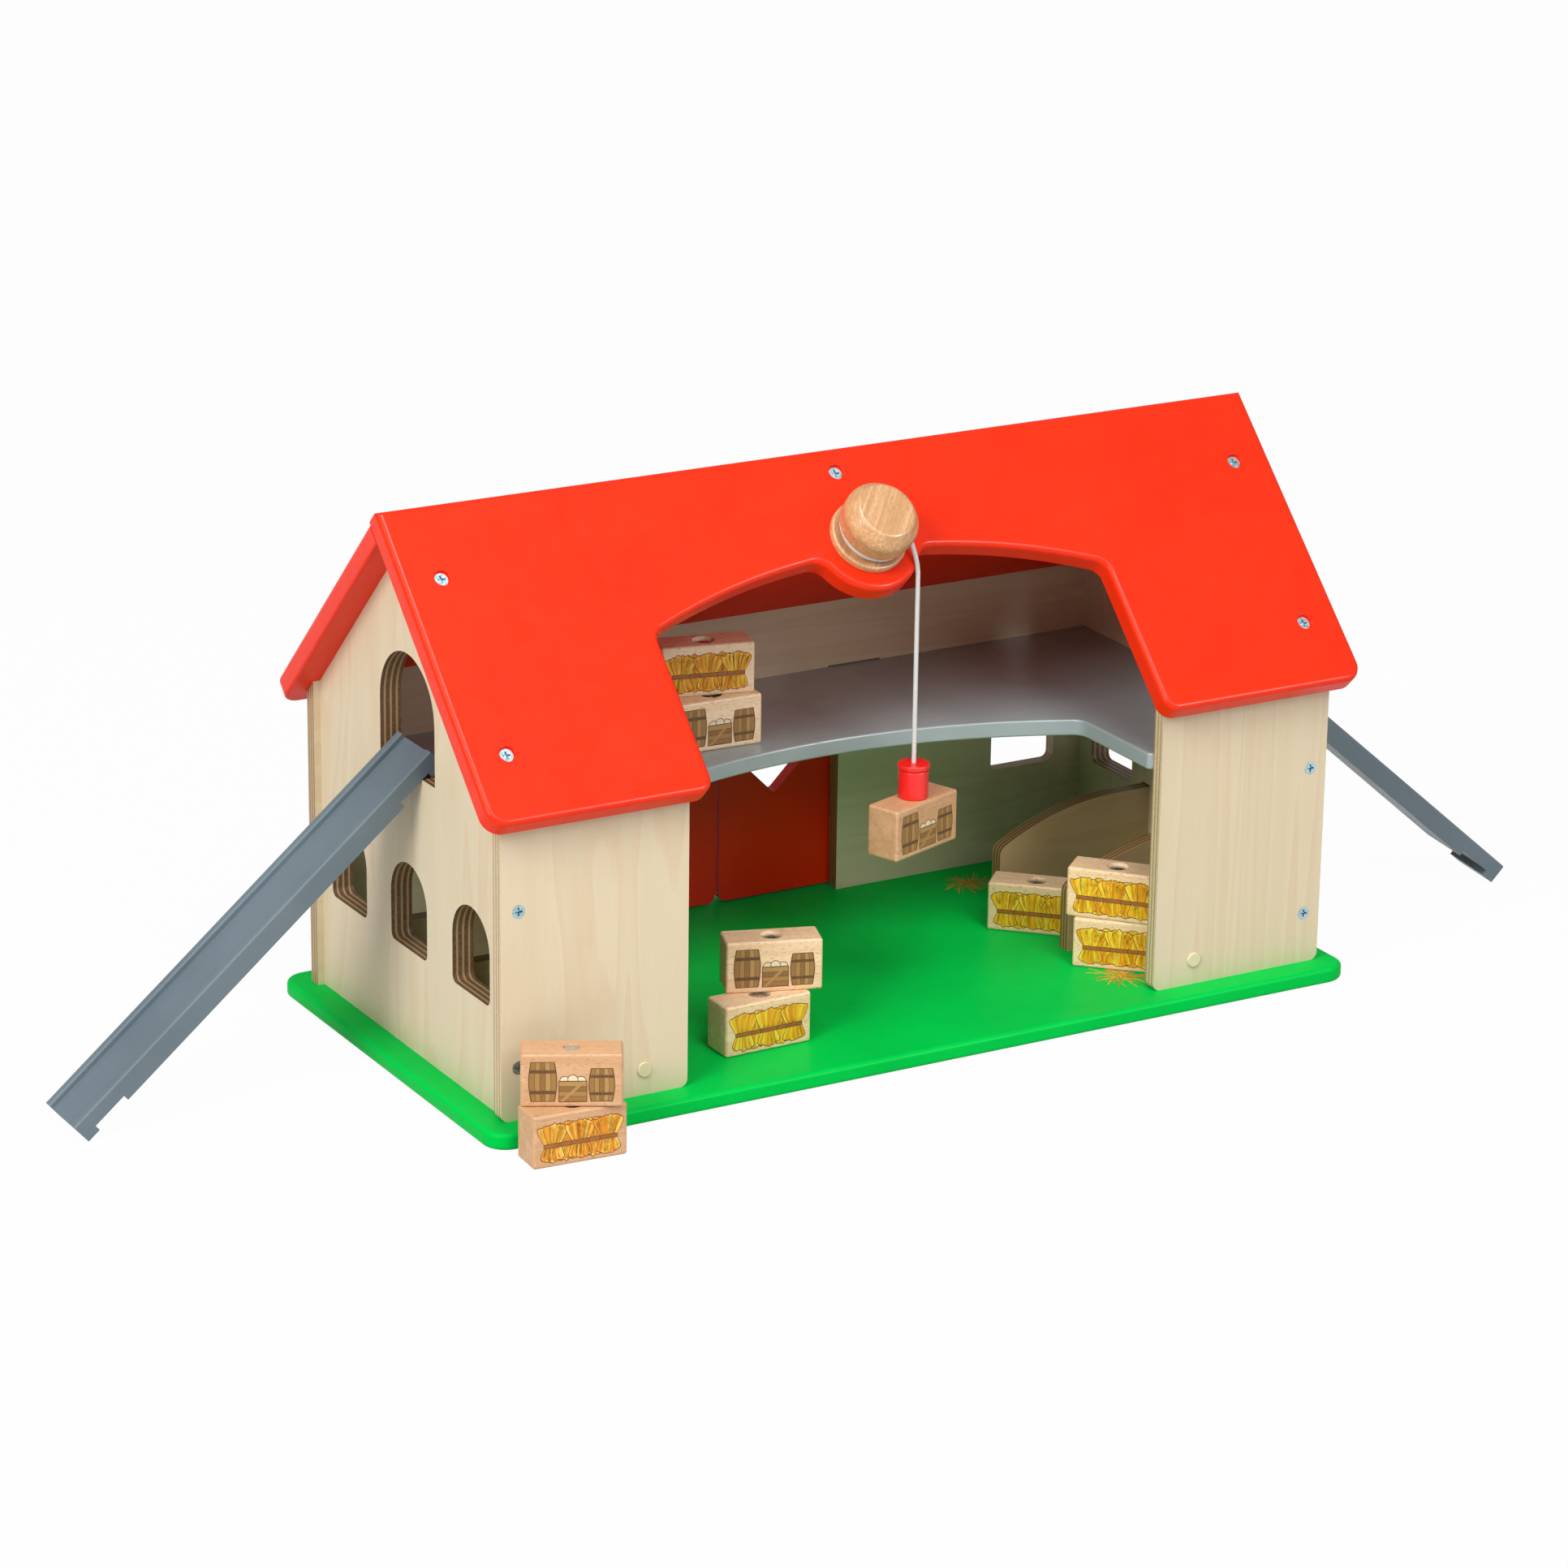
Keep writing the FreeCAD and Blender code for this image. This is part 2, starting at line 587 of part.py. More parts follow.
round_edges(loft, S.loft_corner_round, lambda edge: runs_along(edge, Vec(0, 0, 1))
            and all_at(edge, "Y", loft_corner))
round_edges(loft, S.roof_edge_round, lambda edge: runs_along(edge, Vec(0, 0, 1))
            and near(abs(edge.BoundBox.XMin), half_loft_gap.value)
            and all_at(edge, "Y", -inner_depth))


def loft_front_edge(edge):
    """Upper and lower rims of the curved front and the arm edges."""
    box = edge.BoundBox
    level = all_at(edge, "Z", loft_top) or all_at(edge, "Z", loft_under)
    return level and max(abs(box.XMin), abs(box.XMax)) < half_loft_gap.value + S.fit_gap.value


round_edges(loft, S.loft_edge_round, loft_front_edge)
sketch = new_sketch(loft, "XY_Plane", loft_under)
for side in (-1, 1):
    tab = S.loft_tab_out * side
    draw_box(sketch, tab - S.loft_tab_width / 2, tab + S.loft_tab_width / 2,
             inner_depth - S.overrun, half_depth)
pad(loft, sketch, S.loft_thick)
keep("loft_floor", loft)

# Stall dividers: a low nose rising in a hollow curve to a flat top at the wall.
for name, side in (("left", -1), ("right", 1)):
    for row, forward in (("rear", 1), ("front", -1)):
        divider = new_body("%s_%s_divider" % (name, row))
        centre = S.divider_out * forward
        sketch = new_sketch(divider, "XZ_Plane", -(centre + S.divider_thick / 2))
        nose = (inner_end - S.divider_reach) * side
        heel = (inner_end + S.divider_housing - S.fit_gap) * side
        flat = (inner_end - S.divider_flat) * side
        crest = S.base_thick + S.divider_height
        nose_top = S.base_thick + S.divider_nose_height
        run = S.divider_reach - S.divider_flat
        rise = S.divider_height - S.divider_nose_height
        sweep = (run * run + rise * rise) / (rise * 2)
        draw_arched(sketch, [
            (nose, nose_top), (nose, S.base_thick), (heel, S.base_thick), (heel, crest),
            (flat, crest)], sweep, side > 0)
        pad(divider, sketch, S.divider_thick)
        round_edges(divider, S.divider_nose_round, lambda edge: runs_along(edge, Vec(0, 1, 0))
                    and all_at(edge, "Z", nose_top))
        keep("%s_%s_divider" % (name, row), divider)

# Roof boards: the front one carries the winch lug in its cut-out, the back one butts under it.
roof = new_body("front_roof")
sketch = new_sketch(roof, "XY_Plane", -S.roof_thick)
half_roof = S.roof_length / 2
draw_box(sketch, -half_roof, half_roof, -S.roof_slope_length, ZERO)
pad(roof, sketch, S.roof_thick)
half_gap = S.roof_gap_width / 2
gap_corner = -(S.roof_gap_crown + S.roof_gap_rise)
gap_radius = (half_gap * half_gap + S.roof_gap_rise * S.roof_gap_rise) / (S.roof_gap_rise * 2)
gap_low = -(S.roof_slope_length + S.overrun)
sketch = new_sketch(roof, "XY_Plane", S.overrun)
draw_arched(sketch, [
    (-half_gap, gap_corner), (-half_gap, gap_low), (half_gap, gap_low), (half_gap, gap_corner)],
    gap_radius, True)
pocket(roof, sketch, S.roof_thick + S.overrun * 2)
sketch = new_sketch(roof, "XY_Plane", -S.roof_thick)
draw_circle(sketch, S.winch_out, -S.winch_down, S.lug_radius)
pad(roof, sketch, S.roof_thick)
round_edges(roof, S.lug_fillet, lambda edge: runs_along(edge, Vec(0, 0, 1))
            and abs(edge.BoundBox.XMin - S.winch_out.value) < S.lug_radius.value
            and edge.BoundBox.YMax < -S.roof_gap_crown.value)
round_edges(roof, S.roof_gap_round, lambda edge: runs_along(edge, Vec(0, 0, 1))
            and near(abs(edge.BoundBox.XMin), half_gap.value))
round_edges(roof, S.roof_corner_round, lambda edge: runs_along(edge, Vec(0, 0, 1))
            and near(abs(edge.BoundBox.XMin), half_roof.value)
            and near(edge.BoundBox.YMin, -S.roof_slope_length.value))
round_edges(roof, S.roof_edge_round, lambda edge: all_at(edge, "Z", ZERO))
round_edges(roof, S.roof_under_round, lambda edge: all_at(edge, "Z", -S.roof_thick)
            and not all_at(edge, "Y", ZERO))
sketch = new_sketch(roof, "XY_Plane", S.overrun)
draw_circle(sketch, S.winch_out, -S.winch_down, S.spindle_radius + S.turn_gap)
pocket(roof, sketch, S.roof_thick + S.overrun * 2)
place(roof, ZERO, ZERO, S.ridge_height, Vec(1, 0, 0), S.roof_pitch)
drilled("front_roof", roof, [roof_bores])

rear = new_body("back_roof")
sketch = new_sketch(rear, "XY_Plane", -S.roof_thick)
draw_box(sketch, -half_roof, half_roof, S.roof_thick, S.roof_slope_length)
pad(rear, sketch, S.roof_thick)
round_edges(rear, S.roof_corner_round, lambda edge: runs_along(edge, Vec(0, 0, 1))
            and all_at(edge, "Y", S.roof_slope_length))
round_edges(rear, S.roof_edge_round, lambda edge: all_at(edge, "Z", ZERO)
            and not all_at(edge, "Y", S.roof_thick))
round_edges(rear, S.roof_under_round, lambda edge: all_at(edge, "Z", -S.roof_thick)
            and not all_at(edge, "Y", S.roof_thick))
place(rear, ZERO, ZERO, S.ridge_height, Vec(1, 0, 0), -S.roof_pitch)
drilled("back_roof", rear, [roof_bores])

# Cleats: a triangular one in the ridge corner and two low ones behind the front panels.
cleat = new_body("ridge_cleat")
sketch = new_sketch(cleat, "YZ_Plane", -(S.ridge_cleat_length / 2))
draw_polygon(sketch, [
    (ZERO, under_ridge), (-S.ridge_cleat_side, under_ridge - S.ridge_cleat_side * slope_fall),
    (S.ridge_cleat_side, under_ridge - S.ridge_cleat_side * slope_fall)])
pad(cleat, sketch, S.ridge_cleat_length)
drilled("ridge_cleat", cleat, [roof_bores])

for name, side in (("left", -1), ("right", 1)):
    cleat = new_body(name + "_panel_cleat")
    sketch = new_sketch(cleat, "XZ_Plane", inner_depth - S.panel_cleat_thick)
    centre = cap_out * side
    draw_box(sketch, centre - S.panel_cleat_length / 2, centre + S.panel_cleat_length / 2,
             S.base_thick, S.base_thick + S.panel_cleat_height)
    pad(cleat, sketch, S.panel_cleat_thick)
    drilled(name + "_panel_cleat", cleat, [cleat_bores])

# Back doors: leaves on steel pins that turn in the base board and in a header strip.
for name, side in (("left", -1), ("right", 1)):
    door = new_body(name + "_door")
    sketch = new_sketch(door, "XY_Plane", door_low)
    draw_box(sketch, S.door_gap * side / 2, S.door_pivot_out * side, door_face, door_face + S.door_thick)
    pad(door, sketch, door_top - door_low)
    round_edges(door, S.door_corner_round, lambda edge: runs_along(edge, Vec(0, 1, 0))
                and all_at(edge, "X", S.door_gap * side / 2))
    sketch = new_sketch(door, "XY_Plane", door_low)
    draw_circle(sketch, S.door_pivot_out * side, door_middle, S.door_thick / 2)
    pad(door, sketch, door_top - door_low)
    heart = S.heart_out * side
    step = heart_side * diagonal_share
    mouth = -(door_face - S.overrun)
    depth = S.door_thick + S.overrun * 2
    sketch = new_sketch(door, "XZ_Plane", mouth)
    draw_polygon(sketch, [
        (heart, heart_tip), (heart + step, heart_tip + step), (heart, heart_tip + step * 2),
        (heart - step, heart_tip + step)])
    pocket(door, sketch, depth)
    round_edges(door, S.heart_tip_round, lambda edge: runs_along(edge, Vec(0, 1, 0))
                and all_at(edge, "Z", heart_tip))
    for lobe in (-1, 1):
        sketch = new_sketch(door, "XZ_Plane", mouth)
        draw_circle(sketch, heart + step * lobe / 2, heart_tip + step * 3 / 2, heart_side / 2)
        pocket(door, sketch, depth)
    sketch = new_sketch(door, "XY_Plane", door_low + S.pin_hold)
    draw_circle(sketch, S.door_pivot_out * side, door_middle, S.pin_radius + S.fit_gap)
    pocket(door, sketch, S.pin_hold + S.overrun)
    sketch = new_sketch(door, "XY_Plane", door_top + S.overrun)
    draw_circle(sketch, S.door_pivot_out * side, door_middle, S.pin_radius + S.fit_gap)
    pocket(door, sketch, S.pin_hold + S.overrun)
    keep(name + "_door", door)
    pins = []
    spans = ((S.base_thick - S.pin_seat, door_low + S.pin_hold),
             (door_top - S.pin_hold, door_top + S.header_gap + S.pin_seat))
    for bottom, top in spans:
        pin = doc.addObject("Part::Cylinder", name + "_pin")
        pin.setExpression("Radius", S.pin_radius.text)
        pin.setExpression("Height", (top - bottom).text)
        place(pin, S.door_pivot_out * side, door_middle, bottom)
        doc.recompute()
        pins.append(pin.Shape)
    keep(name + "_door_pins", group(name + "_door_pins", pins))

header = new_body("door_header")
sketch = new_sketch(header, "XZ_Plane", -(half_depth + S.header_depth))
header_low = door_top + S.header_gap
draw_box(sketch, -(S.header_length / 2), S.header_length / 2, header_low, header_low + S.header_height)
pad(header, sketch, S.header_depth)
round_edges(header, S.loft_edge_round, lambda edge: runs_along(edge, Vec(1, 0, 0))
            and all_at(edge, "Y", half_depth + S.header_depth))
sketch = new_sketch(header, "XY_Plane", header_low + S.pin_seat + S.turn_gap)
for side in (1, -1):
    draw_circle(sketch, S.door_pivot_out * side, door_middle, S.pin_radius + S.turn_gap)
pocket(header, sketch, S.pin_seat + S.turn_gap + S.overrun)
drilled("door_header", header, [cleat_bores])

# Cover caps over the panel screws.
cap = new_body("cap_pattern")
sketch = new_sketch(cap, "XY_Plane", ZERO)
draw_circle(sketch, ZERO, ZERO, S.cap_radius)
pad(cap, sketch, S.cap_thick)
round_edges(cap, S.cap_round, lambda edge: all_at(edge, "Z", S.cap_thick))
cap_spots = [cleat_spots[0], cleat_spots[2]]
keep("screw_caps", group("screw_caps", [moved(cap.Shape, spot) for spot in cap_spots]))

# Winch: a turned spool on a spindle through the lug, heights counted from the roof face.
flange_low = S.slip_washer_thick
flange_top = flange_low + S.flange_thick
knob_low = flange_top + S.groove_height
knob_top = knob_low + S.knob_height
knob_bulge = knob_low + S.knob_bulge_height
spool = new_body("winch_spool")
sketch = new_sketch(spool, "XZ_Plane", ZERO)
draw_polygon(sketch, [
    (ZERO, flange_low), (S.flange_radius, flange_low), (S.flange_radius, flange_top),
    (S.core_radius, flange_top), (S.core_radius, knob_low), (S.knob_foot_radius, knob_low),
    (S.knob_bulge_radius, knob_bulge), (S.knob_flat_radius, knob_top), (ZERO, knob_top)])
revolve(spool, sketch)


def rim_at(radius, level):
    return lambda edge: all_at(edge, "Z", level) and near(edge.BoundBox.XMax, radius.value)


round_edges(spool, S.flange_round, rim_at(S.flange_radius, flange_top))
round_edges(spool, S.knob_foot_round, rim_at(S.knob_foot_radius, knob_low))
round_edges(spool, S.knob_bulge_round, rim_at(S.knob_bulge_radius, knob_bulge))
round_edges(spool, S.knob_rim_round, rim_at(S.knob_flat_radius, knob_top))
sketch = new_sketch(spool, "XY_Plane", flange_low + S.spindle_bite)
draw_circle(sketch, ZERO, ZERO, S.spindle_radius + S.fit_gap)
pocket(spool, sketch, S.spindle_bite + S.overrun)
winch_at = ridge + Vec(S.winch_out.value, 0, 0) + front_down * S.winch_down.value
winch_frame = FreeCAD.Placement(winch_at, FreeCAD.Rotation(Vec(1, 0, 0), S.roof_pitch.value))


def on_winch(item):
    """Seat an object on the winch axis, with its own Z along the roof normal."""
    place(item, S.winch_out, -(S.winch_down * cos_of(S.roof_pitch)),
          S.ridge_height - S.winch_down * cos_of(S.roof_pitch) * slope_fall,
          Vec(1, 0, 0), S.roof_pitch)
    doc.recompute()


on_winch(spool)
keep("winch_spool", spool)

spindle = new_body("winch_spindle")
nut_face = -(S.roof_thick + S.nut_play + S.nut_washer_thick)
sketch = new_sketch(spindle, "XY_Plane", nut_face - S.spindle_end)
draw_circle(sketch, ZERO, ZERO, S.spindle_radius)
pad(spindle, sketch, flange_low + S.spindle_bite - nut_face + S.spindle_end)
on_winch(spindle)
keep("winch_spindle", spindle)


def washer(label, outer, bottom, thick):
    body = new_body(label)
    ring = new_sketch(body, "XY_Plane", bottom)
    draw_circle(ring, ZERO, ZERO, outer)
    draw_circle(ring, ZERO, ZERO, S.spindle_radius + S.fit_gap)
    pad(body, ring, thick)
    on_winch(body)
    return body


slip = washer("slip_washer_pattern", S.slip_washer_radius, ZERO, S.slip_washer_thick)
steel = washer("nut_washer_pattern", S.nut_washer_radius, nut_face, S.nut_washer_thick)
keep("winch_washers", group("winch_washers", [slip.Shape, steel.Shape]))

nut = new_body("winch_nut")
sketch = new_sketch(nut, "XY_Plane", nut_face - S.nut_height)
corners = []
for step in range(6):
    angle = math.radians(60 * step)
    corners.append((S.nut_radius * math.cos(angle), S.nut_radius * round(math.sin(angle), 9)))
draw_polygon(sketch, [(a, ZERO if b.value == 0 else b) for a, b in corners])
pad(nut, sketch, S.nut_height)
sketch = new_sketch(nut, "XY_Plane", nut_face + S.overrun)
draw_circle(sketch, ZERO, ZERO, S.spindle_radius + S.fit_gap)
pocket(nut, sketch, S.nut_height + S.overrun * 2)
on_winch(nut)
keep("winch_nut", nut)

# Cord: a winding on the spool core, and a taut run over the lug edge down to the holder.
cord = S.cord_radius.value
winding_radius = S.core_radius.value + S.fit_gap.value + cord
top_level = knob_low.value - S.rest_gap.value - cord
hoist = Vec(S.hoist_out.value, -S.hoist_forward.value, 0)


def roof_point(across, down, out):
    return ridge + Vec(across, 0, 0) + front_down * down + front_normal * out


# where the plumb line of the holder passes the lug edge, at cord_lift above the roof face
edge_out = S.cord_lift.value
edge_down = S.hoist_forward.value / math.cos(pitch) - edge_out * math.tan(pitch)
edge_point = roof_point(hoist.x, edge_down, edge_out)
edge_across = hoist.x - S.winch_out.value
edge_reach = math.hypot(edge_across, edge_down - S.winch_down.value)
edge_angle = math.atan2(edge_down - S.winch_down.value, edge_across)
leave_angle = edge_angle - math.acos(winding_radius / edge_reach)


def winding_point(angle, radius, level):
    return roof_point(S.winch_out.value + radius * math.cos(angle),
                      S.winch_down.value + radius * math.sin(angle), level)


def winding_tangent(angle, climb):
    """Direction of growing angle, rising by climb along the spool axis per radian."""
    across = Vec(-winding_radius * math.sin(angle), 0, 0)
    return (across + front_down * (winding_radius * math.cos(angle)) + front_normal * climb).normalize()


leave_point = winding_point(leave_angle, winding_radius, top_level)


def tangent_arc(start, way, stop):
    """Arc that leaves start along way and reaches stop, with its radius."""
    chord = stop - start
    normal = chord - way * chord.dot(way)
    if normal.Length < 1e-7 * chord.Length:
        return Part.LineSegment(start, stop), None
    normal.normalize()
    radius = chord.dot(chord) / (2 * chord.dot(normal))
    centre = start + normal * radius
    outward = ((start - centre) + (stop - centre)).normalize()
    return Part.Arc(start, centre + outward * radius, stop), radius


def biarc(start, start_way, stop, stop_way):
    """Two arcs that join smoothly between two points with given directions."""
    chord = stop - start
    total = start_way + stop_way
    bend = 2 * (1 - start_way.dot(stop_way))
    along = chord.dot(total)
    reach = (math.sqrt(along * along + bend * chord.dot(chord)) - along) / bend
    middle = (start + stop + (start_way - stop_way) * reach) / 2
    first, first_radius = tangent_arc(start, start_way, middle)
    second, second_radius = tangent_arc(stop, -stop_way, middle)
    backwards = Part.Arc(middle, second.value((second.FirstParameter + second.LastParameter) / 2), stop)
    return [first, backwards], [first_radius, second_radius]


quarter = math.pi / 2
climb = S.winding_pitch.value / (2 * math.pi)
quarters = 5
knots = []
for step in range(quarters, -1, -1):
    angle = leave_angle - step * quarter
    level = top_level - climb * step * quarter
    knots.append((winding_point(angle, winding_radius, level), winding_tangent(angle, climb)))
leave_way = knots[-1][1]
# the inner end comes straight out of the core, square to its face
anchor_angle = leave_angle - (quarters + 1) * quarter
anchor_level = top_level - climb * (quarters + 1) * quarter
anchor_in = winding_point(anchor_angle, S.core_radius.value - cord * 4, anchor_level)
anchor_out = winding_point(anchor_angle, S.core_radius.value - cord * 2, anchor_level)
curves = [Part.LineSegment(anchor_in, anchor_out)]
radii = []
start, way = anchor_out, (anchor_out - anchor_in).normalize()
for stop, stop_way in knots:
    arcs, sizes = biarc(start, way, stop, stop_way)
    curves += arcs
    radii += sizes
    start, way = stop, stop_way
winding_end = leave_point + leave_way * (cord * 2)
curves.append(Part.LineSegment(leave_point, winding_end))


def tube(label, path, start, way):
    """A round cord swept along the path, checked against section times length."""
    edges = [curve.toShape() for curve in path]
    wire = Part.Wire(edges)
    ring = Part.Wire([Part.Edge(Part.Circle(start, way, cord))])
    solid = wire.makePipeShell([ring], True, False)
    item = doc.addObject("Part::Feature", label)
    item.Shape = solid
    expected = math.pi * cord ** 2 * wire.Length
    print("%s: length %.2f mm, volume %.3f, section times length %.3f" % (
        label, wire.Length, solid.Volume, expected))
    keep(label, item)
    return wire


winding_wire = tube("cord_winding", curves, anchor_in, anchor_out - anchor_in)
print("winding arc radii: " + ", ".join("%.2f" % size for size in radii))
samples = winding_wire.discretize(Distance=cord / 2)
apart = winding_radius * math.pi
least = min((samples[i] - samples[j]).Length for i in range(len(samples))
            for j in range(i) if (i - j) * cord / 2 > apart)
print("winding least gap to itself %.2f mm" % (least - cord * 2))

holder_low = S.hoist_block_top
holder_top = holder_low + S.holder_height
cap_top = holder_top + S.holder_cap_thick
bend_radius = S.roof_edge_round.value + cord
down_way = Vec(0, 0, -1)
lead = S.lead_bend_radius.value


def rounded_route(corners, sizes):
    """Straight runs through the corners, with a tangent arc of the given radius at each inner one."""
    path = []
    start = corners[0]
    for before, corner, after, radius in zip(corners, corners[1:], corners[2:], sizes):
        come = (corner - before).normalize()
        go = (after - corner).normalize()
        cut_back = radius * math.tan(math.acos(come.dot(go)) / 2)
        arc, size = tangent_arc(corner - come * cut_back, come, corner + go * cut_back)
        path += [Part.LineSegment(start, corner - come * cut_back), arc]
        start = corner + go * cut_back
        print("lift cord bend radius %.2f" % size)
    path.append(Part.LineSegment(start, corners[-1]))
    return path


lead_point = winding_end + leave_way * (cord * 4)
cord_foot = Vec(hoist.x, hoist.y, holder_top.value)
cord_head = winding_end + leave_way * S.fit_gap.value
lift_path = rounded_route([cord_head, lead_point, edge_point, cord_foot], [lead, bend_radius])
tube("lift_cord", lift_path, cord_head, leave_way)
for name, point in (("winding end", winding_end), ("lead", lead_point), ("edge", edge_point),
                    ("foot", cord_foot), ("winch", winch_at)):
    print("%s at %.3f %.3f %.3f" % (name, point.x, point.y, point.z))

# the spool core is bored where the winding's inner end enters it
anchor = doc.addObject("Part::Cylinder", "anchor_bore")
anchor.setExpression("Radius", (S.cord_radius + S.fit_gap).text)
anchor.setExpression("Height", (S.cord_radius * 4 + S.overrun).text)
anchor.Placement = at_place(anchor_in, anchor_out - anchor_in)
doc.recompute()
drilled("winch_spool", spool, [anchor])

# Magnet holder: a turned grip with a screwed cap, a knot chamber above and a magnet below.
hoist_x = S.hoist_out
hoist_y = -S.hoist_forward
holder = new_body("magnet_holder")
sketch = new_sketch(holder, "XY_Plane", holder_low)
draw_circle(sketch, hoist_x, hoist_y, S.holder_radius)
pad(holder, sketch, S.holder_height)
round_edges(holder, S.holder_edge_round, lambda edge: all_at(edge, "Z", holder_low)
            or all_at(edge, "Z", holder_top))
sketch = new_sketch(holder, "XY_Plane", holder_top + S.overrun)
draw_circle(sketch, hoist_x, hoist_y, S.knot_radius + S.rest_gap)
pocket(holder, sketch, S.overrun + S.knot_radius * 2 + S.rest_gap)
sketch = new_sketch(holder, "XY_Plane", holder_low + S.magnet_thick + S.rest_gap)
draw_circle(sketch, hoist_x, hoist_y, S.magnet_radius + S.fit_gap)
pocket(holder, sketch, S.magnet_thick + S.rest_gap + S.overrun)
keep("magnet_holder", holder)

lid = new_body("holder_cap")
sketch = new_sketch(lid, "XY_Plane", holder_top)
draw_circle(sketch, hoist_x, hoist_y, S.holder_radius - S.holder_edge_round)
pad(lid, sketch, S.holder_cap_neck)
sketch = new_sketch(lid, "XY_Plane", holder_top + S.holder_cap_neck)
draw_circle(sketch, hoist_x, hoist_y, S.holder_cap_radius)
pad(lid, sketch, S.holder_cap_thick - S.holder_cap_neck)
round_edges(lid, S.holder_edge_round, lambda edge: all_at(edge, "Z", cap_top)
            or (all_at(edge, "Z", holder_top + S.holder_cap_neck)
                and near(edge.BoundBox.XLength, S.holder_cap_radius.value * 2)))
sketch = new_sketch(lid, "XY_Plane", cap_top + S.overrun)
draw_circle(sketch, hoist_x, hoist_y, S.cord_radius + S.rest_gap)
pocket(lid, sketch, S.holder_cap_thick + S.overrun * 2)
keep("holder_cap", lid)

magnet = doc.addObject("Part::Cylinder", "holder_magnet")
magnet.setExpression("Radius", S.magnet_radius.text)
magnet.setExpression("Height", S.magnet_thick.text)
place(magnet, hoist_x, hoist_y, holder_low + S.rest_gap)
keep("holder_magnet", magnet)

ball = doc.addObject("Part::Sphere", "knot_ball")
ball.setExpression("Radius", S.knot_radius.text)
place(ball, hoist_x, hoist_y, holder_top - S.knot_radius * 2 / 3)
shears = doc.addObject("Part::Box", "knot_trim")
shears.setExpression("Length", (S.knot_radius * 4).text)
shears.setExpression("Width", (S.knot_radius * 4).text)
shears.setExpression("Height", (S.knot_radius * 4).text)
place(shears, hoist_x - S.knot_radius * 2, hoist_y - S.knot_radius * 2, holder_top - S.knot_radius * 4)
knot = doc.addObject("Part::Common", "cord_knot")
knot.Base = ball
knot.Tool = shears
keep("cord_knot", knot)

# Blocks: round-edged beech with a domed steel insert let into the top, nearly flush on one block.


def make_block(name, across, along, low, turn, radius, thick):
    block = new_body(name + "_block")
    outline = new_sketch(block, "XY_Plane", ZERO)
    draw_box(outline, -(S.block_length / 2), S.block_length / 2, -(S.block_width / 2), S.block_width / 2)
    pad(block, outline, S.block_height)
    round_edges(block, S.block_round, lambda edge: True)
    hole = new_sketch(block, "XY_Plane", S.block_height + S.overrun)
    draw_circle(hole, ZERO, ZERO, radius + S.fit_gap)
    pocket(block, hole, S.overrun + S.insert_depth)
    place(block, across, along, low, Vec(0, 0, 1), turn)
    keep(name + "_block", block)
    disc = doc.addObject("Part::Cylinder", name + "_disc")
    disc.setExpression("Radius", radius.text)
    disc.setExpression("Height", thick.text)
    seat = low + S.block_height - S.insert_depth
    place(disc, across, along, seat)
    dome = doc.addObject("Part::Sphere", name + "_dome")
    dome.setExpression("Radius", S.insert_dome.text)
    place(dome, across, along, seat + thick - S.insert_dome)
    insert = doc.addObject("Part::Common", name + "_insert")
    insert.Base = disc
    insert.Tool = dome
    keep(name + "_insert", insert)


levels = {"table": ZERO, "base": S.base_thick, "loft": loft_top}
for block_name, across, along, turn, support in BLOCKS:
    low = levels[support]
    insert = (S.insert_radius, S.insert_thick)
    if block_name == "yard_upper":
        insert = (S.flush_radius, S.insert_depth - S.rest_gap)
    make_block(block_name, getattr(S, block_name + "_block_x"), getattr(S, block_name + "_block_y"),
               low, getattr(S, block_name + "_block_turn"), *insert)
    levels[block_name] = low + S.block_height
make_block("hoist", hoist_x, hoist_y, S.hoist_block_top - S.block_height, S.hoist_block_turn,
           S.insert_radius, S.insert_thick)

# Ramps: railed boards whose notches hook over the doorway sill while the foot stands on the table.
# The sill's outer corner lies in the notch, with the resting gap between them.
sill_offset = S.ramp_step - S.rest_gap


def sill_along(slope):
    """Distance up a ramp of this slope from its foot to the sill's outer corner."""
    return (doorway_sill - sill_offset * cos_of(slope)) / sin_of(slope)


ramp_length = sill_along(S.left_ramp_angle) + S.ramp_hook


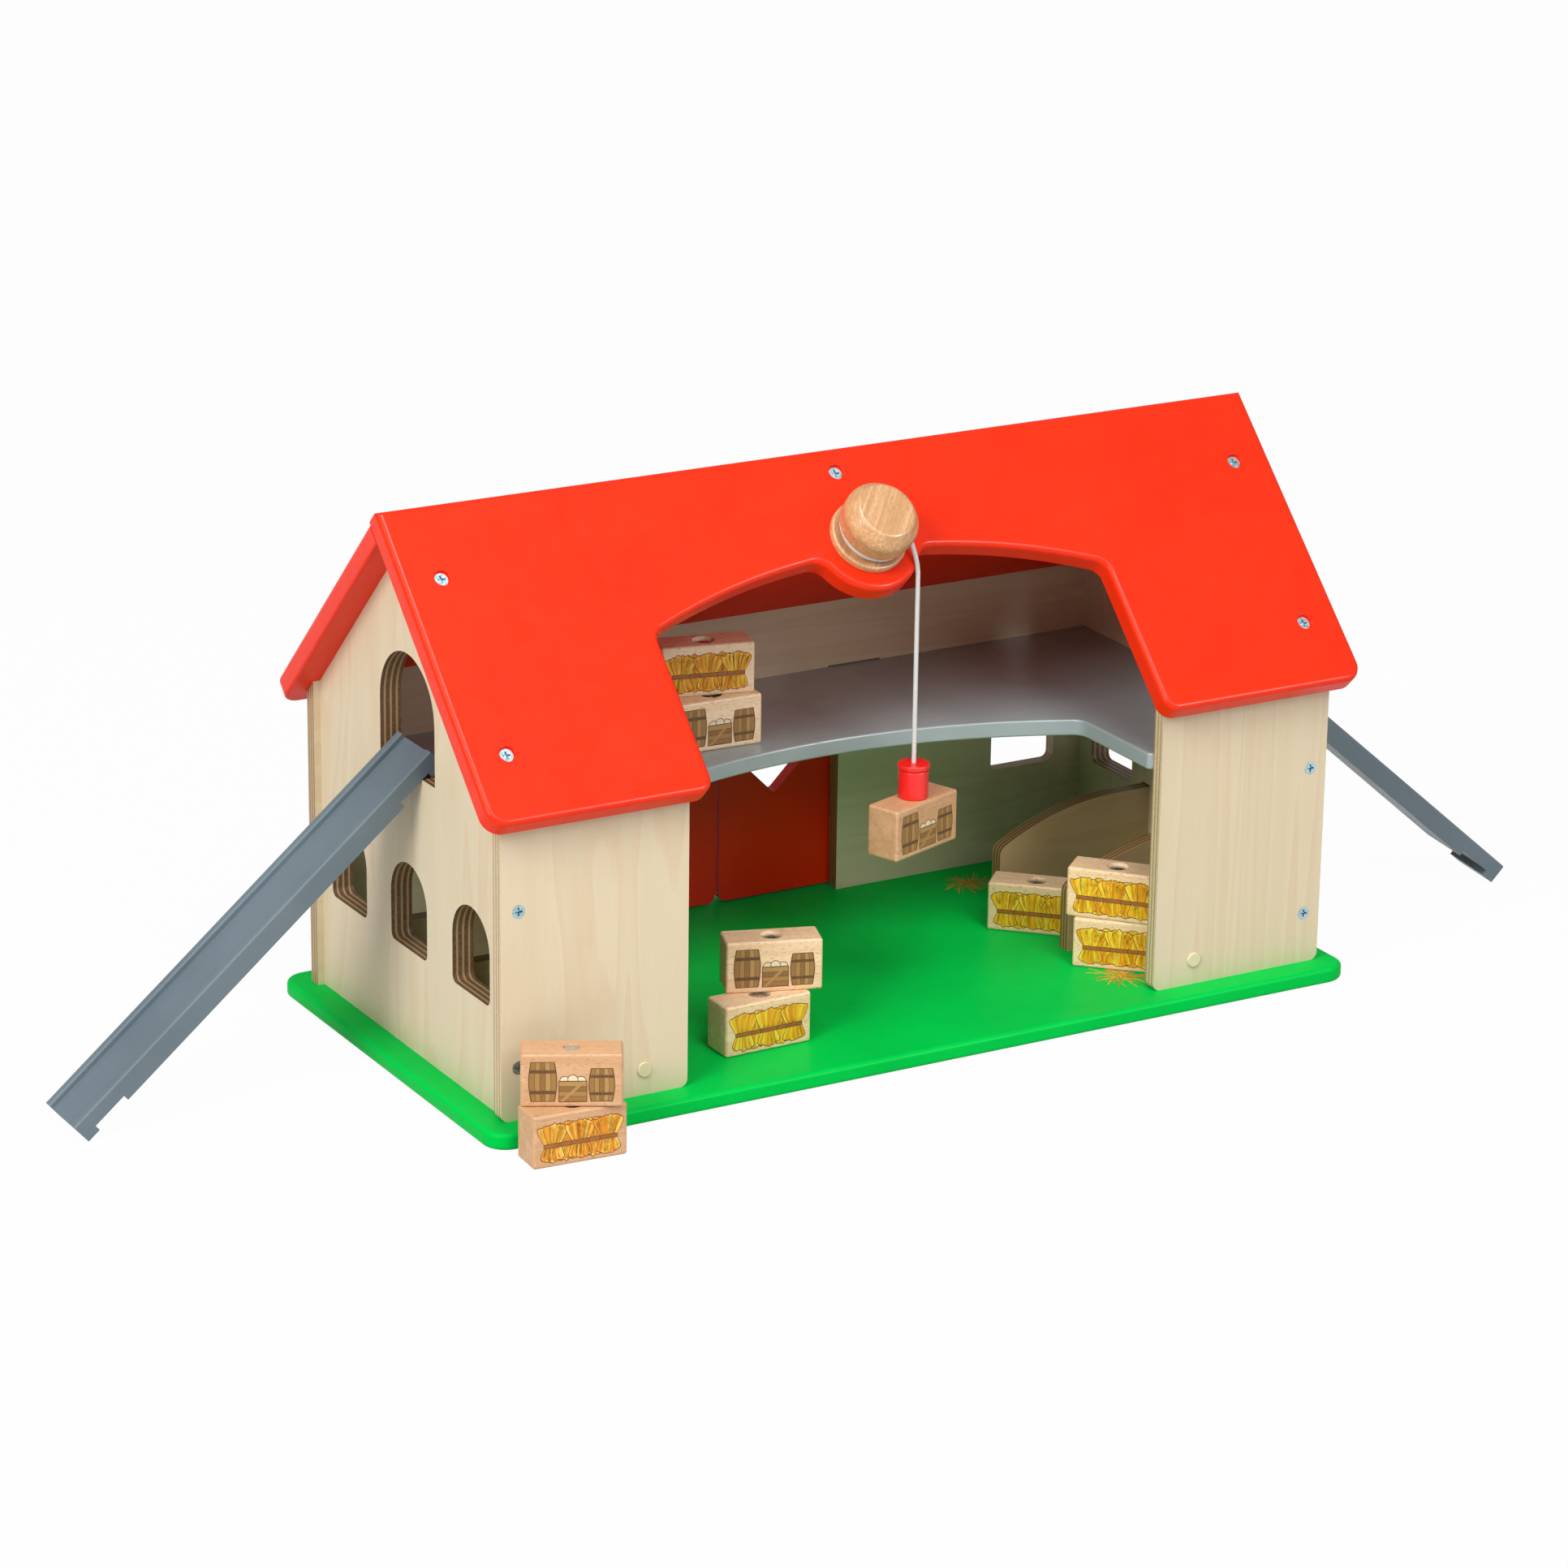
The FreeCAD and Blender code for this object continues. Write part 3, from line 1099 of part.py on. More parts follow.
def make_ramp(name, side, back, slope, yaw):
    """Side: -1 left, 1 right. Back: where the foot stands in Y. Yaw: turn away from square."""
    ramp = new_body(name + "_ramp")
    profile = new_sketch(ramp, "XZ_Plane", -(S.ramp_width / 2))
    low_in = S.ramp_foot
    low_out = S.ramp_foot + S.ramp_notch
    high_in = ramp_length - low_out
    high_out = ramp_length - low_in
    draw_polygon(profile, [
        (ZERO, S.ramp_thick), (ZERO, ZERO), (low_in, ZERO), (low_in, S.ramp_step),
        (low_out, S.ramp_step), (low_out, ZERO), (high_in, ZERO), (high_in, S.ramp_step),
        (high_out, S.ramp_step), (high_out, ZERO), (ramp_length, ZERO), (ramp_length, S.ramp_thick)])
    pad(ramp, profile, S.ramp_width)
    channel = new_sketch(ramp, "XY_Plane", S.ramp_thick + S.overrun)
    half_channel = S.ramp_width / 2 - S.ramp_rail
    draw_box(channel, -S.overrun, ramp_length + S.overrun, -half_channel, half_channel)
    pocket(ramp, channel, S.overrun + S.ramp_channel)
    round_edges(ramp, S.ramp_round, lambda edge: runs_along(edge, Vec(1, 0, 0))
                and all_at(edge, "Z", S.ramp_thick))
    reach = sill_along(slope) * cos_of(slope) - sill_offset * sin_of(slope)
    swing = S.ramp_width / 2 * tan_of(yaw)
    out = half_length + (reach + swing) * cos_of(yaw)
    turn = FreeCAD.Rotation(Vec(0, 0, 1), 180 - yaw.value if side > 0 else yaw.value)
    tilt = FreeCAD.Rotation(Vec(0, 1, 0), -slope.value)
    ramp.Placement = FreeCAD.Placement(Vec(out.value * side, back.value, 0), turn.multiply(tilt))
    lift = ramp.Placement.Rotation.multVec(Vec(0, 0, 1))
    print("%s ramp length %.2f, foot at %.2f, lift way %.5f %.5f %.5f" % (
        name, ramp_length.value, out.value * side, lift.x, lift.y, lift.z))
    keep(name + "_ramp", ramp)


make_ramp("left", -1, S.left_ramp_back, S.left_ramp_angle, ZERO)
make_ramp("right", 1, -S.right_ramp_forward, S.right_ramp_angle, S.right_ramp_yaw)

# Check every object and write the finished sub-parts.
doc.recompute()
for item in doc.Objects:
    if "Invalid" in item.State or "Error" in item.State:
        raise RuntimeError("%s failed: %s" % (item.Name, item.State))
os.makedirs("parts", exist_ok=True)
for label, item in sorted(finished.items()):
    shape = item.Shape
    if shape.isNull() or not shape.isValid():
        raise RuntimeError("bad shape in " + label)
    shape.exportStep(os.path.join("parts", label + ".step"))
    print("%s: %d solid(s), %.1f mm3" % (label, len(shape.Solids), shape.Volume))
print("%d sub-parts written" % len(finished))
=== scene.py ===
# %% [markdown]
# # Toy stable
#
# A wooden toy stable: plywood walls on a green board, a red roof that is cut away at the front, a
# loft, stalls, two ramps, a cord winch with a magnet, and loose blocks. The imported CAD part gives
# every solid. This lesson gives them their finishes, lays the cord, and prints blocks and board.
# All lengths are metres in the CAD frame: +X to the right, +Y to the back, +Z up.

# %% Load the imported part
import math
import random

import bpy
from mathutils import Matrix, Vector


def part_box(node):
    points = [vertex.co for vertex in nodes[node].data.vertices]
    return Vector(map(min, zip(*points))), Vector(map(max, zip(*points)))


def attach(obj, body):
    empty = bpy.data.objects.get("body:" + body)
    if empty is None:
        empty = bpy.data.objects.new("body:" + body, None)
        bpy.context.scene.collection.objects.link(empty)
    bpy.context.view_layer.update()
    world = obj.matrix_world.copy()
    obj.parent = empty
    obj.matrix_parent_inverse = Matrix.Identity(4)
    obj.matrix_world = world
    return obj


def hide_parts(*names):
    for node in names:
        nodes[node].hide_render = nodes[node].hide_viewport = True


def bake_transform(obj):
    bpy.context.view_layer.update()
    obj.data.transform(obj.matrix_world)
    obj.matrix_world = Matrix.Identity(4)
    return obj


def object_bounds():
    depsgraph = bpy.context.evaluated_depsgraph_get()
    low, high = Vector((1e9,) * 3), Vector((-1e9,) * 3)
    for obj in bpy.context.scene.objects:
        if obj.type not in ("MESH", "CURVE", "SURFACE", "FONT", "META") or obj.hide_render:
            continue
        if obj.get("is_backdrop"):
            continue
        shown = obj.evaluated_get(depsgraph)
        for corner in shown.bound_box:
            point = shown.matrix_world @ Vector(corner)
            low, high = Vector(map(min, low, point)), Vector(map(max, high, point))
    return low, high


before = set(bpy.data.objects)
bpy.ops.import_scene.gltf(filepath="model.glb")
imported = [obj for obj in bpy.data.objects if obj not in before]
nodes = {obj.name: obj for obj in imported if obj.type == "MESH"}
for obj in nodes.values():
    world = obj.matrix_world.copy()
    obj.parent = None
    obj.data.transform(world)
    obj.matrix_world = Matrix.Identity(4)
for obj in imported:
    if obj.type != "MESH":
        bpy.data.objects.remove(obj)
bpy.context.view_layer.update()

MM = 0.001
scene = bpy.context.scene

# %% [markdown]
# ## Camera
#
# The photograph was taken with a long lens from the front left, a little above the roof. A camera
# can be placed by eye, but straight edges give it exactly: the yaw, pitch, roll, distance and focal
# length below were fitted to the corners of the boards, so that the render can be laid over it.

# %% Camera
IMAGE_PX = 1932
FOCAL_PX = 6572.8
SENSOR = 36.0
yaw, pitch, roll = -0.5234, -0.3321, -0.0141
aim = Vector((-18.37, 8.04, 115.18)) * MM
distance = 2838.91 * MM
level = Vector((math.cos(yaw), math.sin(yaw), 0))
ahead = Vector((-math.sin(yaw) * math.cos(pitch), math.cos(yaw) * math.cos(pitch), math.sin(pitch)))
below = ahead.cross(level)
right = level * math.cos(roll) + below * math.sin(roll)
down = below * math.cos(roll) - level * math.sin(roll)

lens = bpy.data.cameras.new("camera")
lens.sensor_width = SENSOR
lens.lens = FOCAL_PX / IMAGE_PX * SENSOR
lens.clip_end = 50
camera = bpy.data.objects.new("camera", lens)
turned = Matrix((right, -down, -ahead)).transposed().to_4x4()
camera.matrix_world = Matrix.Translation(aim - ahead * distance) @ turned
scene.collection.objects.link(camera)
scene.camera = camera
scene.view_settings.view_transform = "Standard"
print("lens %.1f mm at" % lens.lens, [round(v, 2) for v in camera.matrix_world.translation])

# %% [markdown]
# ## One function for colours, one for nodes
#
# Colours are written as the sRGB hex values that a paint card shows, and shaders need linear light,
# so one function turns one into the other. Node trees are built by one more: it adds a node, sets
# it, and feeds its inputs with numbers or with the outputs of other nodes.

# %% Colours


def linear(code):
    """Linear colour of an sRGB hex code."""
    parts = [int(code[i:i + 2], 16) / 255 for i in (1, 3, 5)]
    return (*[c / 12.92 if c <= 0.04045 else ((c + 0.055) / 1.055) ** 2.4 for c in parts], 1.0)


print("white is", linear("#FFFFFF")[:3])

# %% Nodes and materials


def feed(node, feeds):
    """Give a node's inputs their values, or link them to outputs of other nodes."""
    for key, value in feeds.items():
        if isinstance(value, bpy.types.NodeSocket):
            node.id_data.links.new(value, node.inputs[key])
        else:
            node.inputs[key].default_value = value


def add(tree, kind, feeds=None, out=0, stops=None, **settings):
    """Add one node with its settings, links and colour stops, and return one of its outputs."""
    made = tree.nodes.new(kind)
    for key, value in settings.items():
        setattr(made, key, value)
    if stops:
        bands = made.color_ramp.elements
        for band, (place, code) in ((bands[0], stops[0]), (bands[1], stops[-1])):
            band.position, band.color = place, linear(code)
        for place, code in stops[1:-1]:
            bands.new(place).color = linear(code)
    feed(made, feeds or {})
    return made.outputs[out]


def material(name):
    """A new material, its tree and its Principled shader."""
    made = bpy.data.materials.new(name)
    made.use_nodes = True
    return made, made.node_tree, made.node_tree.nodes["Principled BSDF"]


def dress(made, *names):
    """Give CAD nodes a material."""
    for name in names:
        nodes[name].data.materials.clear()
        nodes[name].data.materials.append(made)
    print(made.name, "on", ", ".join(names))


print("materials that the part brings:", len(bpy.data.materials))

# %% [markdown]
# ## Floor
#
# The stable stands on plain white paper. More light would make the paper white, but it would bleach
# the stable as well. Instead the paper shows mostly its own white, to the camera and in
# reflections, and keeps a faint shadow of the stable.

# %% Floor
HALF_SIDE = 30.0
FLOOR_DROP = 0.3 * MM
OWN_WHITE = 0.97
paper, tree, shader = material("matt_white_paper")
place = add(tree, "ShaderNodeTexCoord", out="Object")
tooth = add(tree, "ShaderNodeTexNoise", {"Vector": place, "Scale": 1 / (4 * MM), "Detail": 4.0})
tone = add(tree, "ShaderNodeValToRGB", {"Fac": tooth}, stops=[(0.3, "#C4C4C4"), (0.7, "#CACACA")])
feed(shader, {"Base Color": tone, "Roughness": 0.9})
glow = add(tree, "ShaderNodeEmission", {"Color": linear("#FFFFFF"), "Strength": 1.0})
rays = tree.nodes.new("ShaderNodeLightPath").outputs
seen = add(tree, "ShaderNodeMath", {0: rays["Is Camera Ray"], 1: rays["Is Glossy Ray"]},
           operation="MAXIMUM")
seen = add(tree, "ShaderNodeMath", {0: seen, 1: rays["Is Transmission Ray"]}, operation="MAXIMUM")
share = add(tree, "ShaderNodeMath", {0: seen, 1: OWN_WHITE}, operation="MULTIPLY")
both = add(tree, "ShaderNodeMixShader", {0: share, 1: shader.outputs[0], 2: glow})
feed(tree.nodes["Material Output"], {"Surface": both})

sheet = bpy.data.meshes.new("floor")
corners = [(-HALF_SIDE, -HALF_SIDE, 0), (HALF_SIDE, -HALF_SIDE, 0),
           (HALF_SIDE, HALF_SIDE, 0), (-HALF_SIDE, HALF_SIDE, 0)]
sheet.from_pydata(corners, [], [(0, 1, 2, 3)])
sheet.materials.append(paper)
floor = bpy.data.objects.new("floor", sheet)
floor.location.z = -FLOOR_DROP
scene.collection.objects.link(floor)
floor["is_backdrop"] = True
print("floor of", 2 * HALF_SIDE, "m")

# %% [markdown]
# ## Lamps
#
# The photograph is lit evenly from the front, so that the rooms are bright too. A single strong
# lamp would throw hard shadows into them. Here a weak white surround and three large soft lamps
# share the light: one from the left, one high and one from the front. Two small ones show only in
# reflections, as a thin bright line along each rounded edge of lacquer.

# %% Lamps
# Each lamp's place and width in metres, and its power in watts.
LAMPS = {
    "left_lamp": ((-2.2, -1.0, 1.8), 1.5, 58.0),
    "high_lamp": ((-0.2, -1.6, 2.9), 1.6, 38.0),
    "front_lamp": ((0.1, -2.5, 1.9), 1.2, 19.0),
    "right_edge_lamp": ((1.4, -2.3, 1.25), 0.25, 70.0),
    "top_edge_lamp": ((-0.45, -0.8, 2.8), 0.25, 50.0),
}
LIT_SPOT = Vector((0, 0, 0.12))
SURROUND = 0.34
surround = bpy.data.worlds.new("surround")
surround.use_nodes = True
feed(surround.node_tree.nodes["Background"], {"Color": linear("#FFFFFF"), "Strength": SURROUND})
scene.world = surround
for name, (place, size, power) in LAMPS.items():
    lamp = bpy.data.lights.new(name, "AREA")
    lamp.shape, lamp.size, lamp.energy = "DISK", size, power
    holder = bpy.data.objects.new(name, lamp)
    holder.rotation_mode = "QUATERNION"
    holder.location = place
    holder.rotation_quaternion = (LIT_SPOT - Vector(place)).to_track_quat("-Z", "Y")
    holder.visible_diffuse = "edge" not in name
    scene.collection.objects.link(holder)
print("lamps:", ", ".join(LAMPS))

# %% [markdown]
# ## The cord's line
#
# The cord winds round the spool under the knob, leaves it, bends over the edge of the roof's lug
# and hangs straight into the holder. A cord could be swept from arcs and straight runs, but that
# looks like bent wire. A NURBS spline of order 3, with the route's points as its control points,
# bends as a limp cord does.

# %% Route of the cord
CORD_RADIUS = 1.2 * MM
ROOF = math.radians(45)
WINCH = Vector((2, -38.891, 261.109)) * MM
DOWN = Vector((0, -math.cos(ROOF), -math.sin(ROOF)))
OUT = Vector((0, -math.sin(ROOF), math.cos(ROOF)))

# The route's points from the part's source: spool, lead, lug edge and holder. One point on each
# longer run keeps that run straight next to the bend.
HANGING = [(19.585, -45.213, 269.024), (20.544, -48.593, 265.828), (21.415, -50.081, 261.348),
           (24.0, -54.5, 248.046), (24.0, -54.5, 233.6), (24.0, -54.5, 136.0)]
HANGING_RESOLUTION = 128


def spline_points(name, points, resolution):
    """Points along a NURBS spline of order 3 with these control points."""
    curve = bpy.data.curves.new(name, "CURVE")
    curve.dimensions = "3D"
    line = curve.splines.new("NURBS")
    line.points.add(len(points) - 1)
    for spot, place in zip(line.points, points):
        spot.co = (*place, 1.0)
    line.order_u = 3
    line.use_endpoint_u = True
    curve.resolution_u = line.resolution_u = resolution
    carrier = bpy.data.objects.new(name, curve)
    scene.collection.objects.link(carrier)
    mesh = bpy.data.meshes.new_from_object(carrier)
    found = [vertex.co.copy() for vertex in mesh.vertices]
    bpy.data.objects.remove(carrier)
    bpy.data.curves.remove(curve)
    bpy.data.meshes.remove(mesh)
    return found


hanging = spline_points("hanging_line", [Vector(p) * MM for p in HANGING], HANGING_RESOLUTION)
print("hanging line of", len(hanging), "points")

# %% [markdown]
# ## Braided cord
#
# The real cord is a braid of white polyester, 2.4 mm thick. Modelling each yarn would be far finer
# than the picture shows. Instead the skin of the tube itself swells and sinks where strands cross
# over and under, four each way, so that the braid is in the mesh and not only in the shader.

# %% Tube with a braided skin
# Strands each way, the run of the cord for one radian of the weave, and how far the skin swells.
STRANDS = 4
LAY = 0.52 * MM
SWELL = 0.05


def braid(name, line, radius, sides=32, step=0.34 * MM):
    """A closed tube along a line of points, with the skin of a braid, and its length."""
    spine = [line[0]]
    for point in line[1:-1]:
        if (point - spine[-1]).length > step:
            spine.append(point)
    spine.append(line[-1])
    verts, faces = [], []
    run = 0.0
    across = (spine[1] - spine[0]).orthogonal().normalized()
    for k, here in enumerate(spine):
        way = (spine[min(k + 1, len(spine) - 1)] - spine[max(k - 1, 0)]).normalized()
        across = (across - way * across.dot(way)).normalized()
        other = way.cross(across)
        run += (here - spine[max(k - 1, 0)]).length
        for s in range(sides):
            angle = 2 * math.pi * s / sides
            weave = math.sin(STRANDS * angle + run / LAY) * math.sin(STRANDS * angle - run / LAY)
            reach = radius * (1 + SWELL * weave)
            verts.append(here + (across * math.cos(angle) + other * math.sin(angle)) * reach)
    last = len(spine) - 1
    for k in range(last):
        for s in range(sides):
            t = (s + 1) % sides
            faces.append((k * sides + s, k * sides + t, (k + 1) * sides + t, (k + 1) * sides + s))
    faces.append(tuple(range(sides - 1, -1, -1)))
    faces.append(tuple(last * sides + s for s in range(sides)))
    mesh = bpy.data.meshes.new(name)
    mesh.from_pydata(verts, [], faces)
    mesh.polygons.foreach_set("use_smooth", [len(p.vertices) == 4 for p in mesh.polygons])
    made = bpy.data.objects.new(name, mesh)
    scene.collection.objects.link(made)
    print("%s: %.1f mm, %d faces" % (name, run / MM, len(faces)))
    return made, run


print("strands each way:", STRANDS)

# %% [markdown]
# ## Yarn
#
# The yarn is polyester: a soft white, greyer here and there, with a slight sheen from its fine
# fibres. Plain white would look like a plastic tube. A noise as fine as the fibres varies the tone
# and roughens the surface.

# %% Polyester yarn
yarn, tree, shader = material("braided_polyester")
place = add(tree, "ShaderNodeTexCoord", out="Object")
fibres = add(tree, "ShaderNodeTexNoise", {"Vector": place, "Scale": 1 / (0.5 * MM), "Detail": 3.0})
tone = add(tree, "ShaderNodeValToRGB", {"Fac": fibres},
           stops=[(0.3, "#C2C0BC"), (0.65, "#DAD9D6")])
fuzz = add(tree, "ShaderNodeBump", {"Height": fibres, "Strength": 0.3, "Distance": 0.1 * MM})
feed(shader, {"Base Color": tone, "Normal": fuzz, "Roughness": 0.8, "Sheen Weight": 0.25})
print("yarn material:", yarn.name)

# %% [markdown]
# ## Hanging cord
#
# The run from the spool to the holder is the one that works: its top stays at the roof, and its
# foot goes up and down with the magnet. Riding on one of the two, it would tear off the other.

# %% Hanging cord
lift_cord, lift_length = braid("lift_cord_braid", hanging, CORD_RADIUS)
lift_cord.data.materials.append(yarn)
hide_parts("lift_cord")
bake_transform(lift_cord)

# %% [markdown]
# ## Turns on the spool
#
# Above its hanging run the cord lies in one and a half turns under the knob, and its inner end goes
# into the spool. Round rings would not join the run that leaves them, so the turns are a spline of
# the same kind. Its control points lie on the polygon round the turns' circle, 16 to the turn, so
# that the spline itself runs on that circle. The turns ride on the winch.

# %% Winding on the spool
# Radius and pitch of the turns, the last one's height above the roof, and where the cord leaves it.
TURN_RADIUS = 17.45 * MM
TURN_PITCH = 3.0 * MM
TOP_LEVEL = 10.0 * MM
LEAVE = math.radians(-11.664)
PER_TURN = 16
TURNS = 1.25
TURNS_TO_ANCHOR = TURNS + 0.25
ANCHOR_RADII = (11.4 * MM, 14.2 * MM)
WINDING_RESOLUTION = 24


def on_spool(angle, radius, height):
    """Point at an angle round the winch, a radius from its axis and a height above the roof."""
    sideways = Vector((radius * math.cos(angle), 0, 0))
    return WINCH + sideways + DOWN * radius * math.sin(angle) + OUT * height


corner = 2 * math.pi / PER_TURN
outer = TURN_RADIUS / math.cos(corner / 2)
turns = []
for k in range(int(PER_TURN * TURNS), 0, -1):
    angle = LEAVE - corner * (k - 0.5)
    turns.append(on_spool(angle, outer, TOP_LEVEL - TURN_PITCH * (k - 0.5) / PER_TURN))
anchor = LEAVE - 2 * math.pi * TURNS_TO_ANCHOR
anchor_level = TOP_LEVEL - TURN_PITCH * TURNS_TO_ANCHOR
inner = [on_spool(anchor, radius, anchor_level) for radius in ANCHOR_RADII]
# one point leads the cord from its anchor on to the first turn
inner.append(on_spool(anchor + corner * 1.4, TURN_RADIUS, anchor_level + TURN_PITCH * 0.08))
outlet = [on_spool(LEAVE, TURN_RADIUS, TOP_LEVEL), Vector((19.575, -45.177, 269.058)) * MM]
wound = spline_points("winding_line", inner + turns + outlet, WINDING_RESOLUTION)
winding = braid("winding_braid", wound, CORD_RADIUS)[0]
winding.data.materials.append(yarn)
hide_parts("cord_winding")
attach(winding, "winch")

# %% [markdown]
# ## Stopper knot
#
# The cord ends inside the holder in an overhand knot, pulled tight. A ball would fill the same
# room, but a knot is what holds. Its line is a trefoil, the simplest curve that can't be undone.

# %% Stopper knot
KNOT_STEPS = 96
KNOT_LOOP = 0.62 * MM
KNOT_RISE = 1.0 * MM
KNOT_YARN = 0.8 * MM
knot_low, knot_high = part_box("cord_knot")
centre = (Vector(knot_low) + Vector(knot_high)) / 2
trefoil = []
for k in range(KNOT_STEPS):
    turn = 2 * math.pi * k / KNOT_STEPS
    wide = (2 + math.cos(3 * turn)) * KNOT_LOOP
    trefoil.append(centre + Vector((wide * math.cos(2 * turn), wide * math.sin(2 * turn),
                                    math.sin(3 * turn) * KNOT_RISE)))
knot = braid("stopper_knot", trefoil, KNOT_YARN, sides=16)[0]
knot.data.materials.append(yarn)
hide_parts("cord_knot")
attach(knot, "hoist")

# %% [markdown]
# ## Lacquered boards
#
# The roof, base, loft, ramps and doors are boards sprayed with gloss or satin lacquer. A flat
# colour with a roughness would look like new plastic. Sprayed lacquer drifts a little in tone,
# carries a fine orange peel, and is duller where hands rub it, so three noises of real size do
# these things.

# %% Sprayed lacquer
COAT_ROUGHNESS = 0.28


def lacquer(name, code, deep, roughness, coat, specular=0.35, peel=0.10):
    """Tone drifts over 60 mm, hands dull it in 12 mm patches, the peel is 2.5 mm wide."""
    made, tree, shader = material(name)
    place = add(tree, "ShaderNodeTexCoord", out="Object")
    drift = add(tree, "ShaderNodeTexNoise",
                {"Vector": place, "Scale": 1 / (60 * MM), "Detail": 3.0})
    tone = add(tree, "ShaderNodeValToRGB", {"Fac": drift}, stops=[(0.3, deep), (0.62, code)])
    hands = add(tree, "ShaderNodeTexNoise",
                {"Vector": place, "Scale": 1 / (12 * MM), "Detail": 5.0})
    sheen = add(tree, "ShaderNodeMapRange",
                {"Value": hands, "From Min": 0.3, "From Max": 0.7,
                 "To Min": roughness - 0.05, "To Max": roughness + 0.07})
    skin = add(tree, "ShaderNodeTexNoise",
               {"Vector": place, "Scale": 1 / (2.5 * MM), "Detail": 2.0})
    bump = add(tree, "ShaderNodeBump", {"Height": skin, "Strength": peel, "Distance": 0.06 * MM})
    feed(shader, {"Base Color": tone, "Roughness": sheen, "Normal": bump, "Coat Weight": coat,
                  "Coat Roughness": COAT_ROUGHNESS, "Coat IOR": 1.3,
                  "Specular IOR Level": specular})
    return made


# Gloss red: bright highlights along the rounded edges, flat orange red on the faces.
dress(lacquer("red_gloss_lacquer", "#F2300C", "#ED2C0A", 0.36, 0.3, 0.1),
      "front_roof", "back_roof", "left_door", "right_door")
# Gloss green on fibreboard: the rooms mirror in it faintly.
dress(lacquer("green_gloss_lacquer", "#00C64A", "#00BE46", 0.36, 0.0, 0.03), "base_board")
# Satin grey with a blue cast: softer lights than the gloss. The same grey paint as the loft,
# painted darker here, as the ramps stand in full light.
dress(lacquer("grey_satin_lacquer", "#6A7880", "#637179", 0.40, 0.0, 0.3, 0.05),
      "left_ramp", "right_ramp")
# Gloss grey: the loft's top mirrors the roof above it. The same grey paint as the ramps, painted
# lighter here, as the loft lies in the roof's shade.
dress(lacquer("grey_gloss_lacquer", "#98A5A5", "#909D9D", 0.34, 0.0, 0.8), "loft_floor")
# Moulded plastic: hardly any peel, and a harder shine on the red than on the cream caps.
dress(lacquer("red_moulded_abs", "#F4201A", "#EC1C17", 0.34, 0.3, 0.5, 0.03),
      "magnet_holder", "holder_cap")
dress(lacquer("cream_moulded_abs", "#DDD3AC", "#D5CBA2", 0.5, 0.0, 0.4, 0.03), "screw_caps")

# %% [markdown]
# ## Birch plywood
#
# The walls are birch ply under clear lacquer. Its face is rotary cut: cream, with faint pink lines
# that wander along the grain. Its edges show the veneers, dark where the fibres end and pale where
# they run along. Separate materials for faces and edges would need the meshes cut apart. Instead
# one material asks which way the surface looks: along the board's thickness it is face, else edge.

# %% Face of the ply
AXES = "XYZ"
LINES_IN_CELL = 6.0
PORE_LONG, PORE_WIDE = 22 * MM, 0.7 * MM


def ply_face(tree, place, grain, shift, cell, stretch):
    """Colour and pores of a face, with lines where the tone of a long figure wraps round.

    The figure is cell wide and stretch times as long, and shift moves it.
    """
    broad = [stretch * cell if axis == grain else cell for axis in AXES]
    stretched = add(tree, "ShaderNodeMapping", {"Vector": place, "Scale": [1 / v for v in broad],
                                                "Location": (shift, shift * 0.7, shift * 1.3)})
    figure = add(tree, "ShaderNodeTexNoise",
                 {"Vector": stretched, "Scale": 1.0, "Detail": 2.0, "Distortion": 0.4})
    lines = add(tree, "ShaderNodeMath", {0: figure, 1: LINES_IN_CELL}, operation="MULTIPLY")
    lines = add(tree, "ShaderNodeMath", {0: lines}, operation="FRACT")
    face = add(tree, "ShaderNodeValToRGB", {"Fac": lines}, stops=[
        (0.0, "#DECEAF"), (0.6, "#DBCAA9"), (0.9, "#DBC5A4"), (1.0, "#DCCBAB")])
    fine = [PORE_LONG if axis == grain else PORE_WIDE for axis in AXES]
    grains = add(tree, "ShaderNodeMapping", {"Vector": place, "Scale": [1 / v for v in fine]})
    pores = add(tree, "ShaderNodeTexNoise", {"Vector": grains, "Scale": 1.0, "Detail": 3.0})
    faint = add(tree, "ShaderNodeMapRange",
                {"Value": pores, "From Min": 0.5, "From Max": 0.8, "To Max": 0.22})
    face = add(tree, "ShaderNodeMix", {0: faint, 6: face, 7: linear("#CDB189")}, out=2,
               data_type="RGBA")
    return face, pores


print("pores of %.1f x %.1f mm" % (PORE_LONG / MM, PORE_WIDE / MM))

# %% Edge of the ply
STREAK = 1.2 * MM


def ply_edge(tree, place, thick, start, pair, dark, pale):
    """Colour of an edge: pairs of a dark and a pale veneer along the axis thick, from start."""
    deep = add(tree, "ShaderNodeSeparateXYZ", {"Vector": place}, out=thick)
    deep = add(tree, "ShaderNodeMath", {0: deep, 1: start}, operation="SUBTRACT")
    stack = add(tree, "ShaderNodeMath", {0: deep, 1: pair}, operation="DIVIDE")
    stack = add(tree, "ShaderNodeMath", {0: stack}, operation="ABSOLUTE")
    stack = add(tree, "ShaderNodeMath", {0: stack}, operation="FRACT")
    edge = add(tree, "ShaderNodeValToRGB", {"Fac": stack}, stops=[
        (0.0, dark), (0.58, dark), (0.66, pale), (0.92, pale), (0.99, dark)])
    streaks = add(tree, "ShaderNodeTexNoise",
                  {"Vector": place, "Scale": 1 / STREAK, "Detail": 3.0})
    faint = add(tree, "ShaderNodeMapRange",
                {"Value": streaks, "From Min": 0.35, "From Max": 0.8, "To Max": 0.45})
    return add(tree, "ShaderNodeMix", {0: faint, 6: edge, 7: linear("#A98B62")}, out=2,
               data_type="RGBA")


print("streaks of %.1f mm" % (STREAK / MM))

# %% Face or edge
FACE_FROM = 0.72


